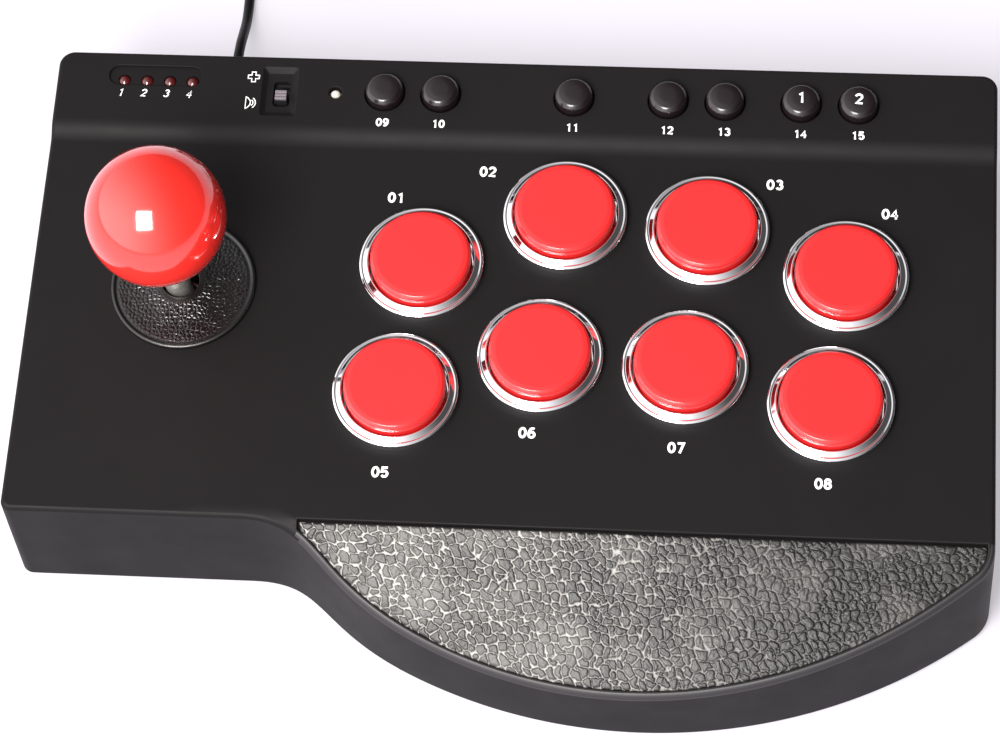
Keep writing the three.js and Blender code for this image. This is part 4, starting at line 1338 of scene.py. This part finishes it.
# ---------------------------------------------------------------- printed marks

PRINT_RISE = 0.05 * MM


def bow(x, y, rx, ry, start, end, steps=14):
    """Part of an ellipse, between two angles in degrees."""
    turns = [math.radians(start + (end - start) * i / steps) for i in range(steps + 1)]
    return [(x + rx * math.cos(t), y + ry * math.sin(t)) for t in turns]


def oval(y, rx, ry):
    """A closed stroke: an ellipse about (0, y)."""
    return True, bow(0, y, rx, ry, 0, 345, 23)


def line(*points):
    return False, points


# strokes of the figures, in a box one unit high: (closed, points)
FIGURES = {
    "0": [oval(0, 0.25, 0.42)],
    "1": [line((-0.15, 0.24), (0.07, 0.42), (0.07, -0.5))],
    "2": [line(*bow(0, 0.18, 0.25, 0.24, 165, -40), (-0.25, -0.42), (0.29, -0.42))],
    "3": [line(*bow(0, 0.21, 0.21, 0.21, 155, -85)), line(*bow(0, -0.19, 0.25, 0.23, 88, -155))],
    "4": [line((0.29, -0.17), (-0.27, -0.17), (0.12, 0.42), (0.12, -0.5))],
    "5": [line((0.26, 0.42), (-0.17, 0.42), (-0.22, 0.05), *bow(0, -0.16, 0.25, 0.26, 125, -150))],
    "6": [oval(-0.17, 0.24, 0.25), line(*bow(0.07, -0.12, 0.31, 0.54, 62, 178))],
    "7": [line((-0.27, 0.42), (0.25, 0.42), (-0.08, -0.5))],
    "8": [oval(0.21, 0.2, 0.2), oval(-0.2, 0.24, 0.22)],
    "9": [oval(0.17, 0.24, 0.25), line(*bow(-0.07, 0.12, 0.31, 0.54, -118, -2))],
}


def stroke_into(skin, path, width, closed, height, lift=0.0):
    """A printed line of that width along a plan path, just proud of height(x, y)."""
    points = [Vector(p) for p in path]
    count = len(points)
    loops = []
    for i, p in enumerate(points):
        before = points[i - 1] if closed or i > 0 else p
        after = points[(i + 1) % count] if closed or i < count - 1 else p
        back = (p - before).normalized() if before != p else (after - p).normalized()
        ahead = (after - p).normalized() if after != p else back
        side = Vector((back.y, -back.x)) + Vector((ahead.y, -ahead.x))
        side = side / max(0.7, 1 + back.dot(ahead)) * width / 2
        ring = []
        for sign, rise in ((1, PRINT_RISE), (-1, PRINT_RISE), (-1, -PRINT_RISE), (1, -PRINT_RISE)):
            place = p + sign * side
            ring.append((*place, height(*place) + lift + rise))
        loops.append(skin.loop(ring))
    skin.strip([*loops, loops[0]] if closed else loops)
    if not closed:
        skin.faces += [tuple(loops[0]), tuple(loops[-1])]


FIGURE_PITCH = 0.78            # of the figures' height
BUTTON_FIGURES = 3.7 * MM
SMALL_FIGURES = 2.9 * MM
CAP_FIGURES = 4.0 * MM
KEY_NUMBERS_Y = 83.3 * MM
LIGHT_NUMBERS_Y = 92.0 * MM
BUTTON_LABELS = [(-10.4, 25.2), (-26.6, 16.9), (21.4, 19.1), (13.9, 24.6),
                 (-2.9, -27.8), (-2.7, -26.4), (-1.7, -27.3), (-1.7, -26.7)]     # from each button, in mm
MARK_WIDTH = 0.34 * MM
CROSS_AT = (-90.4 * MM, 99.2 * MM)
CROSS_QUARTER = [(0.65, 0.65), (0.65, 1.85), (-0.65, 1.85)]
HORN_AT = (-91.3 * MM, 89.3 * MM)
HORN = [(-1.0, -2.2), (-0.4, -1.9), (0.6, -0.7), (0.6, 0.7), (-0.4, 1.9), (-1.0, 2.2)]


def stamped(skin, text, x, y, size, height=surface_z, lift=0.0, slant=0.0, weight=0.215):
    """Numerals laid on the surface, centred on (x, y)."""
    for k, figure in enumerate(text):
        shift = (k - (len(text) - 1) / 2) * FIGURE_PITCH * size
        for n, (closed, points) in enumerate(FIGURES[figure]):
            path = [(x + shift + (u + slant * v) * size, y + v * size) for u, v in points]
            stroke_into(skin, path, weight * size, closed, height, lift + 0.01 * MM * n)


def printed(name, skin, body="root"):
    finished(from_skin(name, skin), PRINT, body, "clear_lens", weighted=False)


def make_numbers():
    skin = Skin()
    for i, ((x, y), (dx, dy)) in enumerate(zip(BUTTON_CENTRES, BUTTON_LABELS), 1):
        stamped(skin, f"{i:02d}", x + dx * MM, y + dy * MM, BUTTON_FIGURES)
    for i, (x, _) in enumerate(KEY_CENTRES, 9):
        stamped(skin, f"{i:02d}", x, KEY_NUMBERS_Y, SMALL_FIGURES)
    for i, x in enumerate(LIGHT_XS, 1):
        stamped(skin, str(i), x - 0.5 * MM, LIGHT_NUMBERS_Y, SMALL_FIGURES, slant=0.25, weight=0.15)
    printed("panel_numbers", skin)


def make_marks():
    """The outlines of a cross and of a small horn with waves, beside the mode switch."""
    skin = Skin()
    cross = []
    for k in range(4):
        turn = Matrix.Rotation(math.pi / 2 * k, 2)
        cross += [Vector(CROSS_AT) + turn @ Vector(p) * MM for p in CROSS_QUARTER]
    stroke_into(skin, cross, MARK_WIDTH, True, surface_z)
    x, y = HORN_AT
    stroke_into(skin, [(x + u * MM, y + v * MM) for u, v in HORN], MARK_WIDTH, True, surface_z)
    for radius in (1.0 * MM, 1.8 * MM):
        wave = bow(x + 0.5 * MM, y, radius, 1.15 * radius, -62, 62, 10)
        stroke_into(skin, wave, MARK_WIDTH, False, surface_z)
    printed("panel_marks", skin)


def make_cap_figures():
    """A 1 and a 2 on the last two function keys."""
    for text, i in (("1", 6), ("2", 7)):
        skin = Skin()
        x, y = KEY_CENTRES[i - 1]
        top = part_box(KEY_NODES[i - 1])[1].z

        def dome(px, py):
            return top - 0.1 * MM * (math.hypot(px - x, py - y) / (3.0 * MM)) ** 2
        stamped(skin, text, x, y + 0.2 * MM, CAP_FIGURES, height=dome, lift=0.03 * MM, weight=0.19)
        printed(f"key_figure_{i}", skin, f"key_{i}")


# ---------------------------------------------------------------- carried-over nodes

CARRIED = {
    "dome_strip": SILICONE, "function_board": BOARD, "slide_switch": SWITCH, "pivot_ring": MECHANISM,
    "stick_housing": MECHANISM, "gate_plate": ZINC, "stick_switch_board": BOARD, "main_board": BOARD,
    **{f"button_switch_{i}": SWITCH for i in range(1, 9)},
}


def finish_carried():
    for node, material in CARRIED.items():
        coloured(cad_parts[node], material)


# ---------------------------------------------------------------- floor and light

KEY_DISTANCE = 1.15
KEY_LEFT = math.radians(18.2)        # of the camera, as seen from the ball
KEY_BELOW = math.radians(7.6)
KEY_SIZE = (0.52, 0.62)
KEY_WATTS = 28
KEY_COLOUR = (1.0, 0.97, 0.93)


def make_key_light():
    """A tall soft box beside the camera, square to its picture."""
    x, y = centre_of("ball_top")
    low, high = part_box("ball_top")
    ball = Vector((x, y, (low.z + high.z) / 2))
    camera = scene.camera.matrix_basis.to_3x3()
    right, up = camera.col[0], camera.col[1]
    towards_camera = (CAMERA_PLACE - ball).normalized()
    out = (towards_camera - math.tan(KEY_LEFT) * right - math.tan(KEY_BELOW) * up).normalized()
    light = bpy.data.lights.new("key", "AREA")
    light.shape = "RECTANGLE"
    light.size, light.size_y = KEY_SIZE
    light.energy = KEY_WATTS
    light.color = KEY_COLOUR
    holder = bpy.data.objects.new("key", light)
    scene.collection.objects.link(holder)
    side = up.cross(out).normalized()
    turn = Matrix((side, out.cross(side), out)).transposed()
    holder.matrix_world = Matrix.Translation(ball + KEY_DISTANCE * out) @ turn.to_4x4()


BRIGHT_SIDE = (-0.86, -0.46, 0.20)
BRIGHT_LEVEL = 3.0
DIM_LEVEL = 0.08
DIM_WAY = -0.6                # cosines to the bright side, where the dim and the bright level begin
BRIGHT_WAY = 0.95
SKY_COLOUR = (1.0, 0.98, 1.01)


def make_world():
    """A studio that is bright to the front left and falls off towards the back right."""
    world = bpy.data.worlds.new("studio")
    world.use_nodes = True
    tree = world.node_tree
    add = node_adder(tree)
    background = tree.nodes["Background"]
    way = add("ShaderNodeTexCoord").outputs["Generated"]
    dot = add("ShaderNodeVectorMath", {0: way}, operation="DOT_PRODUCT")
    dot.inputs[1].default_value = Vector(BRIGHT_SIDE).normalized()
    share = add("ShaderNodeMapRange", {"Value": dot.outputs["Value"]},
                in_From_Min=DIM_WAY, in_From_Max=BRIGHT_WAY)
    squared = add("ShaderNodeMath", {0: share.outputs["Result"]}, operation="POWER")
    squared.inputs[1].default_value = 2.0
    level = add("ShaderNodeMath", {0: squared.outputs[0]}, operation="MULTIPLY_ADD")
    level.inputs[1].default_value = BRIGHT_LEVEL - DIM_LEVEL
    level.inputs[2].default_value = DIM_LEVEL
    tree.links.new(level.outputs[0], background.inputs["Strength"])
    background.inputs["Color"].default_value = (*SKY_COLOUR, 1)
    scene.world = world


FLOOR_COLOUR = (0.34, 0.325, 0.372)
FLOOR_GLOW = 0.42
FLOOR_HALF = 4


def make_stage():
    floor = Skin()
    corners = [(-1, -1), (1, -1), (1, 1), (-1, 1)]
    floor.faces.append(tuple(floor.loop((FLOOR_HALF * x, FLOOR_HALF * y, 0) for x, y in corners)))
    stage = from_skin("floor", floor)
    pale = moulded("pale_floor", FLOOR_COLOUR, 0.8, specular=0.2, mottle=0.01, patch=2.0)
    bsdf = pale.node_tree.nodes["Principled BSDF"]
    bsdf.inputs["Emission Color"].default_value = (1, 0.97, 1, 1)
    bsdf.inputs["Emission Strength"].default_value = FLOOR_GLOW
    stage.data.materials.append(pale)
    scene.view_settings.view_transform = "Standard"


make_top_shell()
make_palm_pad()
make_base()
make_feet()
make_screws()
make_buttons()
make_keys()
make_lights()
make_indicator()
make_slide_knob()
make_ball()
make_shaft()
make_spring()
make_clip()
make_actuator()
make_dust_washer()
make_under_washer()
make_numbers()
make_marks()
make_cap_figures()
finish_carried()
make_stage()
make_key_light()
make_world()
